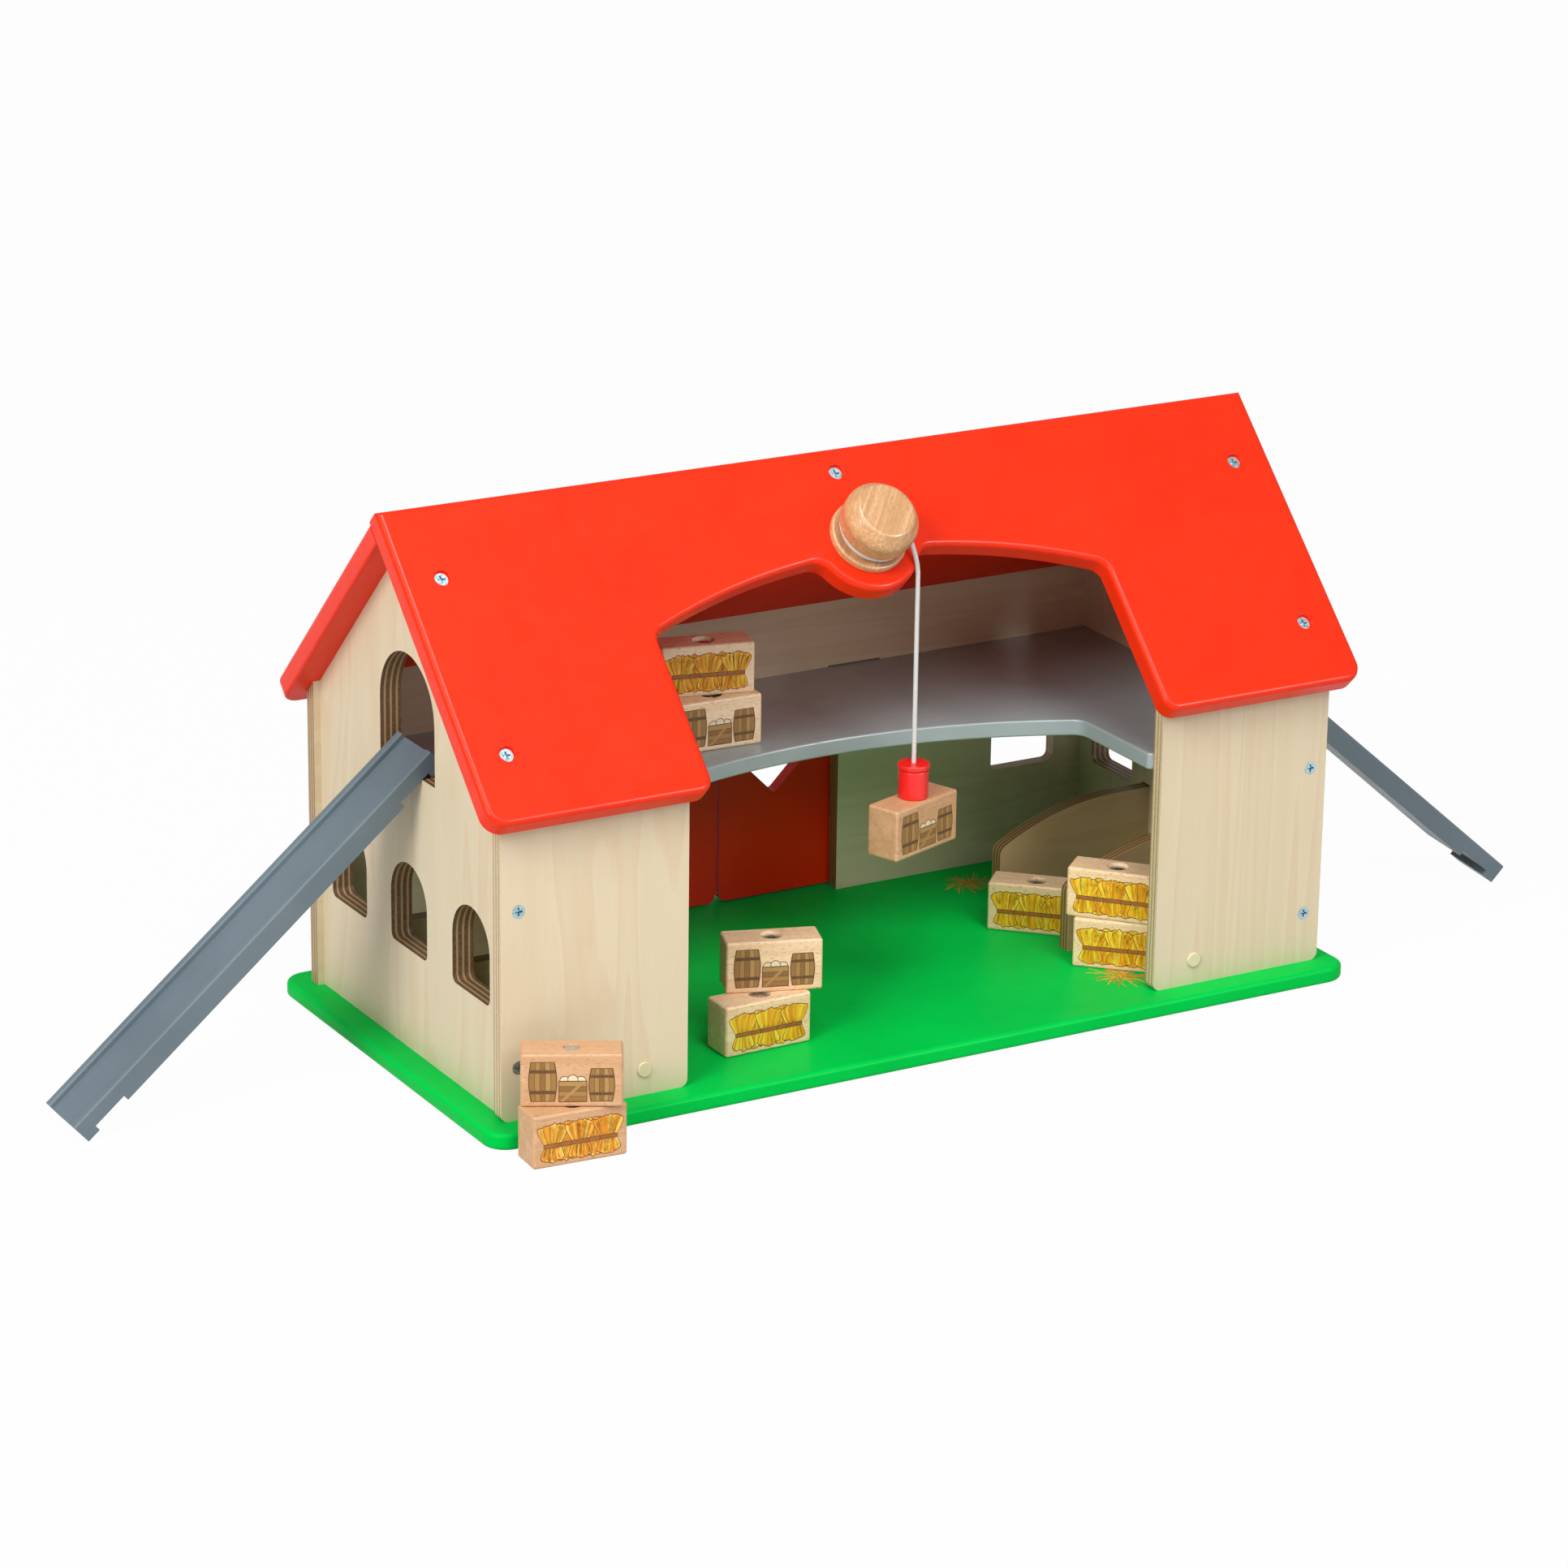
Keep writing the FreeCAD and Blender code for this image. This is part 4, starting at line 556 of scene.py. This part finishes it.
def plywood(name, thick, grain, start, pair, dark, pale, shift,
            cell=24 * MM, stretch=14, tint="#FFFFFF"):
    """Ply whose surfaces are faces where they look along the axis thick, and edges elsewhere."""
    made, tree, shader = material(name)
    coords = tree.nodes.new("ShaderNodeTexCoord").outputs
    face, pores = ply_face(tree, coords["Object"], grain, shift, cell, stretch)
    edge = ply_edge(tree, coords["Object"], thick, start, pair, dark, pale)
    facing = add(tree, "ShaderNodeSeparateXYZ", {"Vector": coords["Normal"]}, out=thick)
    facing = add(tree, "ShaderNodeMath", {0: facing}, operation="ABSOLUTE")
    facing = add(tree, "ShaderNodeMath", {0: facing, 1: FACE_FROM}, operation="GREATER_THAN")
    tone = add(tree, "ShaderNodeMix", {0: facing, 6: edge, 7: face}, out=2, data_type="RGBA")
    # A tint multiplies the whole colour; the stalls use it as painted shade, for the dim rooms
    # under the roof.
    tone = add(tree, "ShaderNodeMix", {0: 1.0, 6: tone, 7: linear(tint)}, out=2,
               data_type="RGBA", blend_type="MULTIPLY")
    sheen = add(tree, "ShaderNodeMapRange", {"Value": pores, "To Min": 0.36, "To Max": 0.56})
    bump = add(tree, "ShaderNodeBump", {"Height": pores, "Strength": 0.12, "Distance": 0.05 * MM})
    feed(shader, {"Base Color": tone, "Roughness": sheen, "Normal": bump,
                  "Specular IOR Level": 0.35})
    return made


print("face within %.0f degrees of the thickness" % math.degrees(math.acos(FACE_FROM)))

# %% Walls, stalls and cleats
# Where a stack of veneers starts, how thick a pair of them is, and their two tones.
GABLE = (244 * MM, 3.4 * MM, "#6B4E36", "#BFA27A")
FRONT = (-112 * MM, 2.7 * MM, "#DCC8A4", "#A88A66")
STALL_TONES = ("#8A6A48", "#CDB892")
STALL_FACE, PAIR = 31.5 * MM, 2.7 * MM
# This tint darkens the stalls' ply all over: painted shade, as they stand inside under the roof.
STALL_SHADE_TINT = "#E6D3BC"
# How wide a figure is, and how many times as long.
BROAD_FIGURE = (40 * MM, 7)
FINE_FIGURE = (16 * MM, 45)
dress(plywood("left_gable_birch_ply", "X", "Z", -GABLE[0], *GABLE[1:], 0.0, *BROAD_FIGURE),
      "left_end_wall")
dress(plywood("right_gable_birch_ply", "X", "Z", *GABLE, 3.0, *BROAD_FIGURE), "right_end_wall")
dress(plywood("left_front_birch_ply", "Y", "Z", *FRONT, 5.0, *BROAD_FIGURE), "front_left_panel")
dress(plywood("right_front_birch_ply", "Y", "Z", *FRONT, 6.0, *FINE_FIGURE), "front_right_panel")
dress(plywood("back_birch_ply", "Y", "X", 104 * MM, PAIR, "#9A7C56", "#C9B08A", 7.0),
      "back_wall", "door_header")
dress(plywood("rear_stall_birch_ply", "Y", "X", STALL_FACE, PAIR, *STALL_TONES, 9.0,
              tint=STALL_SHADE_TINT), "left_rear_divider", "right_rear_divider")
dress(plywood("front_stall_birch_ply", "Y", "X", -STALL_FACE, PAIR, *STALL_TONES, 11.0,
              tint=STALL_SHADE_TINT), "left_front_divider", "right_front_divider")
dress(plywood("cleat_birch_ply", "Y", "X", 0.0, PAIR, *STALL_TONES, 13.0),
      "ridge_cleat", "left_panel_cleat", "right_panel_cleat")

# %% [markdown]
# ## Beech
#
# The blocks and the winch knob are oiled beech: a pink brown ground, soft growth bands, and the
# short dark flecks of its rays. The grain runs along each block, and the blocks lie at all angles,
# so a shared material would cut the grain at a slant. Each block gets its own, turned to lie with
# it.

# %% Oiled beech
# Centre (mm), turn (degrees) and lower level (mm) as in the part's source, then tone and print.
BLOCKS = {
    "yard_lower": (-225.6, -145.8, -3.5, 0.0, 0, "sheaves"),
    "yard_upper": (-223.8, -141.5, -27.0, 28.0, 0, "stores"),
    "front_lower": (-81.5, -78.9, 1.1, 9.0, 1, "sheaves"),
    "front_upper": (-70.2, -70.8, -18.8, 37.0, 1, "stores"),
    "stall": (138.0, -0.6, -43.5, 9.0, 1, "sheaves"),
    "corner_lower": (149.1, -70.1, -43.4, 9.0, 1, "sheaves"),
    "corner_upper": (146.4, -67.1, -47.5, 37.0, 1, "sheaves"),
    "loft_lower": (-58.5, 17.0, -2.0, 141.0, 2, "stores"),
    "loft_upper": (-59.0, 24.5, -13.0, 169.0, 2, "sheaves"),
    "hoist": (24.0, -54.5, 20.4, 92.5, 0, "stores"),
}
# Tones 0, 1 and 2 are one beech, painted paler and paler: painted light that lifts the blocks lying
# deeper in the roof's shade.
BEECH_TONES_PALER_IN_SHADE = [("#DBAE84", "#CD9E72"), ("#FAD8B0", "#F0C89C"), ("#FFE4C2", "#F8D6AE")]
BAND_LONG = 120 * MM
FLECK = (3 * MM, 0.5 * MM, 0.6 * MM)
SEED_STEP = 0.9


def beech(name, centre, turn, pale, mid, seed, band=9 * MM):
    """Grain along the turned X: growth bands band wide, ray flecks 3 mm long and 0.5 mm wide."""
    made, tree, shader = material(name)
    place = add(tree, "ShaderNodeTexCoord", out="Object")
    place = add(tree, "ShaderNodeMapping", {"Vector": place, "Location": [-v for v in centre]})
    place = add(tree, "ShaderNodeMapping", {"Vector": place, "Rotation": turn})
    place = add(tree, "ShaderNodeMapping",
                {"Vector": place, "Location": (seed, seed * 0.4, seed * 0.7)})
    along = add(tree, "ShaderNodeMapping",
                {"Vector": place, "Scale": (1 / BAND_LONG, 1 / band, 1 / band)})
    growth = add(tree, "ShaderNodeTexNoise",
                 {"Vector": along, "Scale": 1.0, "Detail": 3.0, "Distortion": 0.5})
    ground = add(tree, "ShaderNodeValToRGB", {"Fac": growth},
                 stops=[(0.3, pale), (0.5, mid), (0.68, pale)])
    short = add(tree, "ShaderNodeMapping", {"Vector": place, "Scale": [1 / v for v in FLECK]})
    rays = add(tree, "ShaderNodeTexNoise", {"Vector": short, "Scale": 1.0, "Detail": 1.0})
    flecks = add(tree, "ShaderNodeMapRange",
                 {"Value": rays, "From Min": 0.56, "From Max": 0.7, "To Max": 0.5})
    tone = add(tree, "ShaderNodeMix", {0: flecks, 6: ground, 7: linear("#A06C42")}, out=2,
               data_type="RGBA")
    sheen = add(tree, "ShaderNodeMapRange", {"Value": growth, "To Min": 0.34, "To Max": 0.54})
    bump = add(tree, "ShaderNodeBump", {"Height": rays, "Strength": 0.12, "Distance": 0.05 * MM})
    feed(shader, {"Base Color": tone, "Roughness": sheen, "Normal": bump,
                  "Specular IOR Level": 0.4})
    return made


for count, (name, (x, y, turn, low, tone, design)) in enumerate(BLOCKS.items()):
    wood = beech(name + "_oiled_beech", (x * MM, y * MM, low * MM),
                 (0, 0, -math.radians(turn)), *BEECH_TONES_PALER_IN_SHADE[tone], SEED_STEP * count)
    dress(wood, name + "_block")

# %% [markdown]
# ## Knob
#
# The knob of the winch is turned from beech as well, and polished. The finish of the blocks would
# be too dull for it, and its bands too wide. The grain runs across its top in narrow bands, and a
# clear coat lets its rim catch the lamps.

# %% Knob
KNOB_TURN = (-ROOF, 0, math.radians(-51))
KNOB_BAND = 2.6 * MM
KNOB_SEED = 1.7
knob = beech("polished_beech", WINCH, KNOB_TURN, "#DFB080", "#C4905C", KNOB_SEED, KNOB_BAND)
feed(knob.node_tree.nodes["Principled BSDF"],
     {"Coat Weight": 0.5, "Coat Roughness": COAT_ROUGHNESS})
dress(knob, "winch_spool")

# %% [markdown]
# ## Metal
#
# Screws, pins and washers are steel with bright zinc; the inserts in the blocks are polished steel.
# A perfect mirror would look black or white at this size, so fine scratches spread the lights.

# %% Zinc and polished steel


def metal(name, code, deep, roughness, grit):
    """Scratches grit wide, about five times as coarse as real ones, so that they show."""
    made, tree, shader = material(name)
    place = add(tree, "ShaderNodeTexCoord", out="Object")
    place = add(tree, "ShaderNodeMapping",
                {"Vector": place, "Scale": (1 / grit, 0.2 / grit, 1 / grit)})
    marks = add(tree, "ShaderNodeTexNoise", {"Vector": place, "Scale": 1.0, "Detail": 4.0})
    tone = add(tree, "ShaderNodeValToRGB", {"Fac": marks}, stops=[(0.3, deep), (0.7, code)])
    sheen = add(tree, "ShaderNodeMapRange",
                {"Value": marks, "To Min": roughness - 0.05, "To Max": roughness + 0.15})
    bump = add(tree, "ShaderNodeBump", {"Height": marks, "Strength": 0.08, "Distance": 0.03 * MM})
    feed(shader, {"Base Color": tone, "Roughness": sheen, "Normal": bump, "Metallic": 1.0})
    return made


# Bright zinc: pale with a blue cast, and cloudy. Polished steel: a brighter mirror with few marks.
dress(metal("bright_zinc_on_steel", "#B4CBD2", "#8CA6B0", 0.38, 1.1 * MM),
      "roof_screws", "wall_screws", "base_screws", "cleat_screws", "winch_spindle", "winch_nut",
      "winch_washers", "left_door_pins", "right_door_pins", "holder_magnet")
dress(metal("polished_insert_steel", "#D8DCDF", "#B8BDC2", 0.22, 2.0 * MM),
      *[name + "_insert" for name in BLOCKS])

# %% [markdown]
# ## Prints on the blocks
#
# Each block carries a screen print on its long front: sheaves of straw in yellow, or barrels and a
# crate in brown. A picture file would do it at once, but nothing here is read from disk. The prints
# are drawn as small flat polygons, one laid on the next, each with a colour of its own.

# %% Printing ink
# Screen ink: matt, slightly uneven, with the wood's colour breathing through it.
INK_LIFT = 0.03 * MM
INK_BUILD = 0.05 * MM
ink, tree, shader = material("screen_print_ink")
tint = add(tree, "ShaderNodeAttribute", attribute_name="ink", out="Color")
place = add(tree, "ShaderNodeTexCoord", out="Object")
cloud = add(tree, "ShaderNodeTexNoise", {"Vector": place, "Scale": 1 / (1.5 * MM), "Detail": 4.0})
thin = add(tree, "ShaderNodeMapRange",
           {"Value": cloud, "From Min": 0.35, "From Max": 0.8, "To Max": 0.15})
tone = add(tree, "ShaderNodeMix", {0: thin, 6: tint, 7: linear("#C98B4A")}, out=2,
           data_type="RGBA")
bump = add(tree, "ShaderNodeBump", {"Height": cloud, "Strength": 0.08, "Distance": 0.02 * MM})
feed(shader, {"Base Color": tone, "Roughness": 0.5, "Normal": bump, "Specular IOR Level": 0.3})


def print_on(name, shapes, to_place):
    """One mesh of flat shapes, each with its colour and a little higher than the one before."""
    verts, faces, tints = [], [], []
    for rank, (outline, code) in enumerate(shapes):
        rise = INK_LIFT + INK_BUILD * rank / len(shapes)
        faces.append(tuple(range(len(verts), len(verts) + len(outline))))
        verts += [to_place(u * MM, w * MM, rise) for u, w in outline]
        tints += linear(code) * len(outline)
    mesh = bpy.data.meshes.new(name)
    mesh.from_pydata(verts, [], faces)
    mesh.attributes.new("ink", "FLOAT_COLOR", "CORNER").data.foreach_set("color", tints)
    mesh.materials.append(ink)
    made = bpy.data.objects.new(name, mesh)
    scene.collection.objects.link(made)
    return made


print("ink material:", ink.name)

# %% [markdown]
# ## Sheaves
#
# On six of the blocks five sheaves of straw stand side by side, each a fan of straws in a tie. One
# outline for a whole sheaf would look like a stamp. So each straw is drawn by itself, with a
# length, a bend and a yellow from the dice, over a larger dark copy that outlines it.

# %% Sheaves
# Sizes in this cell and the next two are millimetres on the block's front.
STRAWS = [["#FFB636", "#F8A428", "#FFCB58", "#EC9426"],
          ["#FFC21C", "#FAB010", "#FFD940", "#EE9C12"],
          ["#FFB824", "#F8A418", "#FFCE48", "#EC9418"]]
TIE, OUTLINE = "#A9662C", "#6A4128"
TIE_HEIGHT = 11.6
TIE_HALF = (4.5, 0.9)
TIE_RIM = 0.35
# A straw's width, as a share of its widest, at shares of its length.
STRAW_TAPER = ((0.0, 0.5), (0.45, 0.9), (0.8, 1.0), (0.94, 0.75), (1.0, 0.25))
# Upper and lower fan: way from upright and spread in degrees, number of straws, their length.
FANS = ((0, 24, 15, 11.6), (180, -17, 13, 8.8))
# Half a fan's width at the tie, and how much shorter, uneven and bent its straws can be.
FOOT, SHORTER, UNEVEN, BEND = 3.4, 1.2, 0.5, 0.3
STRAW_WIDTH, OUTLINE_WIDTH, OUTLINE_LONGER = 2.2, 2.9, 0.4


def box_shape(left, low, right, high):
    """An upright rectangle."""
    return [(left, low), (right, low), (right, high), (left, high)]


def straw(u, w, lean, length, width, bend):
    """A straw with rounded end, from (u, w), leaning from upright."""
    along, across = (math.sin(lean), math.cos(lean)), (math.cos(lean), -math.sin(lean))
    left, other = [], []
    for share, wide in STRAW_TAPER:
        x = u + along[0] * length * share + across[0] * bend * share * share
        y = w + along[1] * length * share + across[1] * bend * share * share
        left.append((x - across[0] * width * wide / 2, y - across[1] * width * wide / 2))
        other.append((x + across[0] * width * wide / 2, y + across[1] * width * wide / 2))
    return other + left[::-1]


def sheaf(u, dice, straws):
    """Straws fanning up and down from a tie, over slightly larger dark copies that outline them."""
    fans = []
    for side, spread, count, far in FANS:
        for k in range(count):
            place = 2 * k / (count - 1) - 1
            lean = math.radians(side + spread * place)
            reach = far - SHORTER * abs(place) + dice.uniform(-UNEVEN, UNEVEN)
            fans.append((u + FOOT * place, lean, reach, dice.uniform(-BEND, BEND)))
    shapes = [(straw(at, TIE_HEIGHT, lean, far + OUTLINE_LONGER, OUTLINE_WIDTH, bend), OUTLINE)
              for at, lean, far, bend in fans]
    shapes += [(straw(at, TIE_HEIGHT, lean, far, STRAW_WIDTH, bend), dice.choice(straws))
               for at, lean, far, bend in fans]
    for grow, code in ((TIE_RIM, OUTLINE), (0.0, TIE)):
        wide, high = TIE_HALF[0] + grow, TIE_HALF[1] + grow
        shapes.append((box_shape(u - wide, TIE_HEIGHT - high, u + wide, TIE_HEIGHT + high), code))
    return shapes


print("straws in a sheaf:", len(sheaf(0, random.Random(1), STRAWS[0])) // 2 - 1)

# %% [markdown]
# ## Barrels and a crate
#
# The other blocks show stores for the stable: two barrels and a crate of loaves. Traced outlines
# would be long lists of points. Staves, hoops and slats repeat, so two functions draw them from a
# place and a size, without dice, and these blocks all carry the same print.

# %% Barrel
BROWNS = ["#94703C", "#A67E47", "#8A6634", "#B08A52", "#9B7540"]
BAND = "#5E4228"
LINE = 0.4
# A barrel's width at its ends and what its belly adds, the staves' edges in half widths, and where
# its hoops are and how high, as shares of its height.
ENDS, BELLY = 0.82, 0.18
STAVE_LEFT, STAVE_RIGHT, STAVE_STEP = -0.98, -0.62, 0.4
HOOPS, HOOP_HIGH = (0.18, 0.72), 0.09


def barrel(u, low, wide, tall):
    """A bulging barrel: outline, five staves and two hoops."""
    steps = [k / 10 for k in range(11)]

    def half_width(share):
        return wide / 2 * (ENDS + BELLY * math.sin(math.pi * share))

    def stave(first, second, grow=0.0):
        half = [half_width(s) for s in steps]
        rise = [low + tall * s + grow * (2 * s - 1) for s in steps]
        one = [(u + first * h - grow, w) for h, w in zip(half, rise)]
        two = [(u + second * h + grow, w) for h, w in zip(half, rise)]
        return two + one[::-1]

    shapes = [(stave(-1, 1, LINE), OUTLINE), (stave(-1, 1), BAND)]
    for k, code in enumerate(BROWNS):
        shapes.append((stave(STAVE_LEFT + STAVE_STEP * k, STAVE_RIGHT + STAVE_STEP * k), code))
    for share in HOOPS:
        half = half_width(share)
        hoop = box_shape(u - half, low + tall * share, u + half, low + tall * (share + HOOP_HIGH))
        shapes.append((hoop, BAND))
    return shapes


print("shapes in a barrel:", len(barrel(0, 0, 12, 18)))

# %% Crate
CREAM = "#EAD9B8"
# Each loaf's place off the crate's middle, as a share of its width, and its height above the rim.
LOAVES = ((-0.3, 0.2), (0.3, 0.2), (0.0, 1.0))
LOAF_RIM, LOAF_RADIUS, LOAF_SIDES = 2.7, 2.3, 18
SLATS, SLAT_GAP = 4, 0.15
BRACE_NEAR, BRACE_FAR = 0.2, 2.2


def crate(u, low, wide, tall):
    """A slatted crate with round loaves heaped above its rim."""
    shapes = []
    for shift, rise in LOAVES:
        for radius, code in ((LOAF_RIM, OUTLINE), (LOAF_RADIUS, CREAM)):
            ring = [(u + shift * wide + radius * math.cos(a),
                     low + tall + rise + radius * math.sin(a))
                    for a in (2 * math.pi * s / LOAF_SIDES for s in range(LOAF_SIDES))]
            shapes.append((ring, code))
    left, right = u - wide / 2, u + wide / 2
    shapes.append((box_shape(left - LINE, low - LINE, right + LINE, low + tall + LINE), OUTLINE))
    for k in range(SLATS):
        bottom = low + tall * k / SLATS
        slat = box_shape(left, bottom + SLAT_GAP, right, bottom + tall / SLATS - SLAT_GAP)
        shapes.append((slat, BROWNS[k]))
    brace = [(left + BRACE_NEAR, low), (left + BRACE_FAR, low),
             (right - BRACE_NEAR, low + tall), (right - BRACE_FAR, low + tall)]
    shapes.append((brace, BROWNS[3]))
    return shapes


print("shapes in a crate:", len(crate(0, 0, 12, 10)))

# %% [markdown]
# ## Printed blocks
#
# A print lies on the front of its block and goes where the block goes. Drawn in the block's own
# material it would need a mask for each shape. As a thin mesh just off the wood it keeps sharp
# edges, and it rides on the block's body.

# %% Print the blocks
BLOCK_FRONT = -10 * MM
FIRST_SEED = 40
# Sheaves from the back one to the front one, so that each overlaps those before it.
SHEAF_PLACES = (-7.6, 7.6, -15.2, 0.0, 15.2)
STORES = (barrel(-14.4, 3.4, 13.6, 20.4) + barrel(14.8, 3.4, 12.4, 17.0)
          + crate(0.5, 3.2, 13.4, 10.6))
for count, (name, (x, y, turn, low, tone, design)) in enumerate(BLOCKS.items()):
    dice = random.Random(FIRST_SEED + count)
    if design == "sheaves":
        shapes = [shape for u in SHEAF_PLACES for shape in sheaf(u, dice, STRAWS[tone])]
    else:
        shapes = STORES
    spin = Matrix.Rotation(math.radians(turn), 3, "Z")
    origin = Vector((x, y, low)) * MM
    piece = print_on(name + "_print", shapes,
                     lambda u, w, rise: origin + spin @ Vector((u, BLOCK_FRONT - rise, w)))
    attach(piece, name + "_block_body")
print("printed blocks:", len(BLOCKS))

# %% [markdown]
# ## Straw on the board
#
# Two tufts of straw are printed on the green board by the right stalls. They are loose strokes
# thrown around a middle, so Geometry Nodes make them: points in a disc, one bent stroke on each,
# turned mostly outwards, then realised to one plain mesh. The same tree makes both tufts with two
# seeds.

# %% Straw ink
# Screen ink again: matt, each stroke in a gold of its own.
straw_ink, tree, shader = material("golden_print_ink")
stroke = add(tree, "ShaderNodeAttribute", attribute_name="stroke", out="Fac")
tone = add(tree, "ShaderNodeValToRGB", {"Fac": stroke},
           stops=[(0.1, "#A07C22"), (0.5, "#CE8F2A"), (0.9, "#E8AE3C")])
place = add(tree, "ShaderNodeTexCoord", out="Object")
cloud = add(tree, "ShaderNodeTexNoise", {"Vector": place, "Scale": 1 / (1.5 * MM), "Detail": 3.0})
rough = add(tree, "ShaderNodeMapRange", {"Value": cloud, "To Min": 0.4, "To Max": 0.6})
bump = add(tree, "ShaderNodeBump", {"Height": cloud, "Strength": 0.08, "Distance": 0.02 * MM})
feed(shader, {"Base Color": tone, "Roughness": rough, "Normal": bump})
print("straw ink:", straw_ink.name)

# %% Tree: places in a disc
# Each place is a hair above the one before, and a power below 1 gathers them less to the middle.
LAYER = 0.0004 * MM
GATHER = 0.7
tuft = bpy.data.node_groups.new("straw_tuft", "GeometryNodeTree")
tuft.interface.new_socket("Geometry", in_out="OUTPUT", socket_type="NodeSocketGeometry")
for label, kind in (("Strokes", "Int"), ("Middle", "Vector"), ("Spread", "Float"),
                    ("Stroke Length", "Float"), ("Stroke Width", "Float"), ("Bend", "Float"),
                    ("Seed", "Int"), ("Ink", "Material")):
    tuft.interface.new_socket(label, in_out="INPUT", socket_type="NodeSocket" + kind)
given = tuft.nodes.new("NodeGroupInput").outputs
seeds = [given["Seed"]]
for k in (1, 2, 3, 4):
    seeds.append(add(tuft, "ShaderNodeMath", {0: given["Seed"], 1: k}, operation="ADD"))
around = add(tuft, "FunctionNodeRandomValue", {2: 0.0, 3: 2 * math.pi, "Seed": seeds[0]}, out=1,
             data_type="FLOAT")
share = add(tuft, "FunctionNodeRandomValue", {2: 0.0, 3: 1.0, "Seed": seeds[1]}, out=1,
            data_type="FLOAT")
share = add(tuft, "ShaderNodeMath", {0: share, 1: GATHER}, operation="POWER")
far = add(tuft, "ShaderNodeMath", {0: share, 1: given["Spread"]}, operation="MULTIPLY")
cosine = add(tuft, "ShaderNodeMath", {0: around}, operation="COSINE")
sine = add(tuft, "ShaderNodeMath", {0: around}, operation="SINE")
x = add(tuft, "ShaderNodeMath", {0: cosine, 1: far}, operation="MULTIPLY")
y = add(tuft, "ShaderNodeMath", {0: sine, 1: far}, operation="MULTIPLY")
index = add(tuft, "GeometryNodeInputIndex")
z = add(tuft, "ShaderNodeMath", {0: index, 1: LAYER}, operation="MULTIPLY")
spot = add(tuft, "ShaderNodeCombineXYZ", {0: x, 1: y, 2: z})
spot = add(tuft, "ShaderNodeVectorMath", {0: spot, 1: given["Middle"]}, operation="ADD")
points = add(tuft, "GeometryNodePoints", {"Count": given["Strokes"], "Position": spot})
print("nodes for the places:", len(tuft.nodes))

# %% Tree: one stroke, bent along its length
grid = add(tuft, "GeometryNodeMeshGrid",
           {"Size X": given["Stroke Length"], "Size Y": given["Stroke Width"],
            "Vertices X": 7, "Vertices Y": 2})
position = add(tuft, "GeometryNodeInputPosition")
across = add(tuft, "ShaderNodeSeparateXYZ", {0: position}, out=0)
bow = add(tuft, "ShaderNodeMath", {0: across, 1: across}, operation="MULTIPLY")
bow = add(tuft, "ShaderNodeMath", {0: bow, 1: given["Bend"]}, operation="MULTIPLY")
offset = add(tuft, "ShaderNodeCombineXYZ", {1: bow})
grid = add(tuft, "GeometryNodeSetPosition", {"Geometry": grid, "Offset": offset})
print("nodes with the stroke:", len(tuft.nodes))

# %% Tree: strokes turned outwards, of several sizes and tones
LEAN = 0.5
SMALLEST, LARGEST = 0.6, 1.4
lean = add(tuft, "FunctionNodeRandomValue", {2: -LEAN, 3: LEAN, "Seed": seeds[2]}, out=1,
           data_type="FLOAT")
lean = add(tuft, "ShaderNodeMath", {0: around, 1: lean}, operation="ADD")
spin = add(tuft, "ShaderNodeCombineXYZ", {2: lean})
spin = add(tuft, "FunctionNodeEulerToRotation", {0: spin})
size = add(tuft, "FunctionNodeRandomValue", {2: SMALLEST, 3: LARGEST, "Seed": seeds[3]}, out=1,
           data_type="FLOAT")
thrown = add(tuft, "GeometryNodeInstanceOnPoints",
             {"Points": points, "Instance": grid, "Rotation": spin, "Scale": size})
shade = add(tuft, "FunctionNodeRandomValue", {2: 0.0, 3: 1.0, "Seed": seeds[4]}, out=1,
            data_type="FLOAT")
thrown = add(tuft, "GeometryNodeStoreNamedAttribute",
             {"Geometry": thrown, "Name": "stroke", "Value": shade},
             data_type="FLOAT", domain="INSTANCE")
whole = add(tuft, "GeometryNodeRealizeInstances", {"Geometry": thrown})
whole = add(tuft, "GeometryNodeSetMaterial", {"Geometry": whole, "Material": given["Ink"]})
feed(tuft.nodes.new("NodeGroupOutput"), {"Geometry": whole})
print("straw tree of", len(tuft.nodes), "nodes")

# %% The two tufts
BOARD_TOP = 9.0 * MM
# Each tuft's middle (mm) and seed.
TUFTS = {"rear_straw_print": ((143.0, 78.0), 11), "front_straw_print": ((139.5, -83.5), 23)}
for name, ((x, y), seed) in TUFTS.items():
    piece = bpy.data.objects.new(name, bpy.data.meshes.new(name))
    scene.collection.objects.link(piece)
    thrower = piece.modifiers.new("straw", "NODES")
    thrower.node_group = tuft
    sizes = {"Strokes": 60, "Middle": (x * MM, y * MM, BOARD_TOP + INK_LIFT), "Spread": 11 * MM,
             "Stroke Length": 13 * MM, "Stroke Width": 0.55 * MM, "Bend": 14.0, "Seed": seed,
             "Ink": straw_ink}
    for socket in tuft.interface.items_tree:
        if socket.in_out == "INPUT":
            thrower[socket.identifier] = sizes[socket.name]
    view = bpy.context.evaluated_depsgraph_get()
    mesh = bpy.data.meshes.new_from_object(piece.evaluated_get(view),
                                           preserve_all_data_layers=True, depsgraph=view)
    piece.modifiers.remove(thrower)
    piece.data = mesh
    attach(piece, "house")
    print(name, len(mesh.polygons), "faces")

# %% [markdown]
# ## Sizes and finish
#
# The box round everything that renders, the floor apart, in millimetres. The scene may
# dress the part but not grow it.

# %% Finish
low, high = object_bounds()
print("box", [round(v / MM, 1) for v in high - low], "mm")
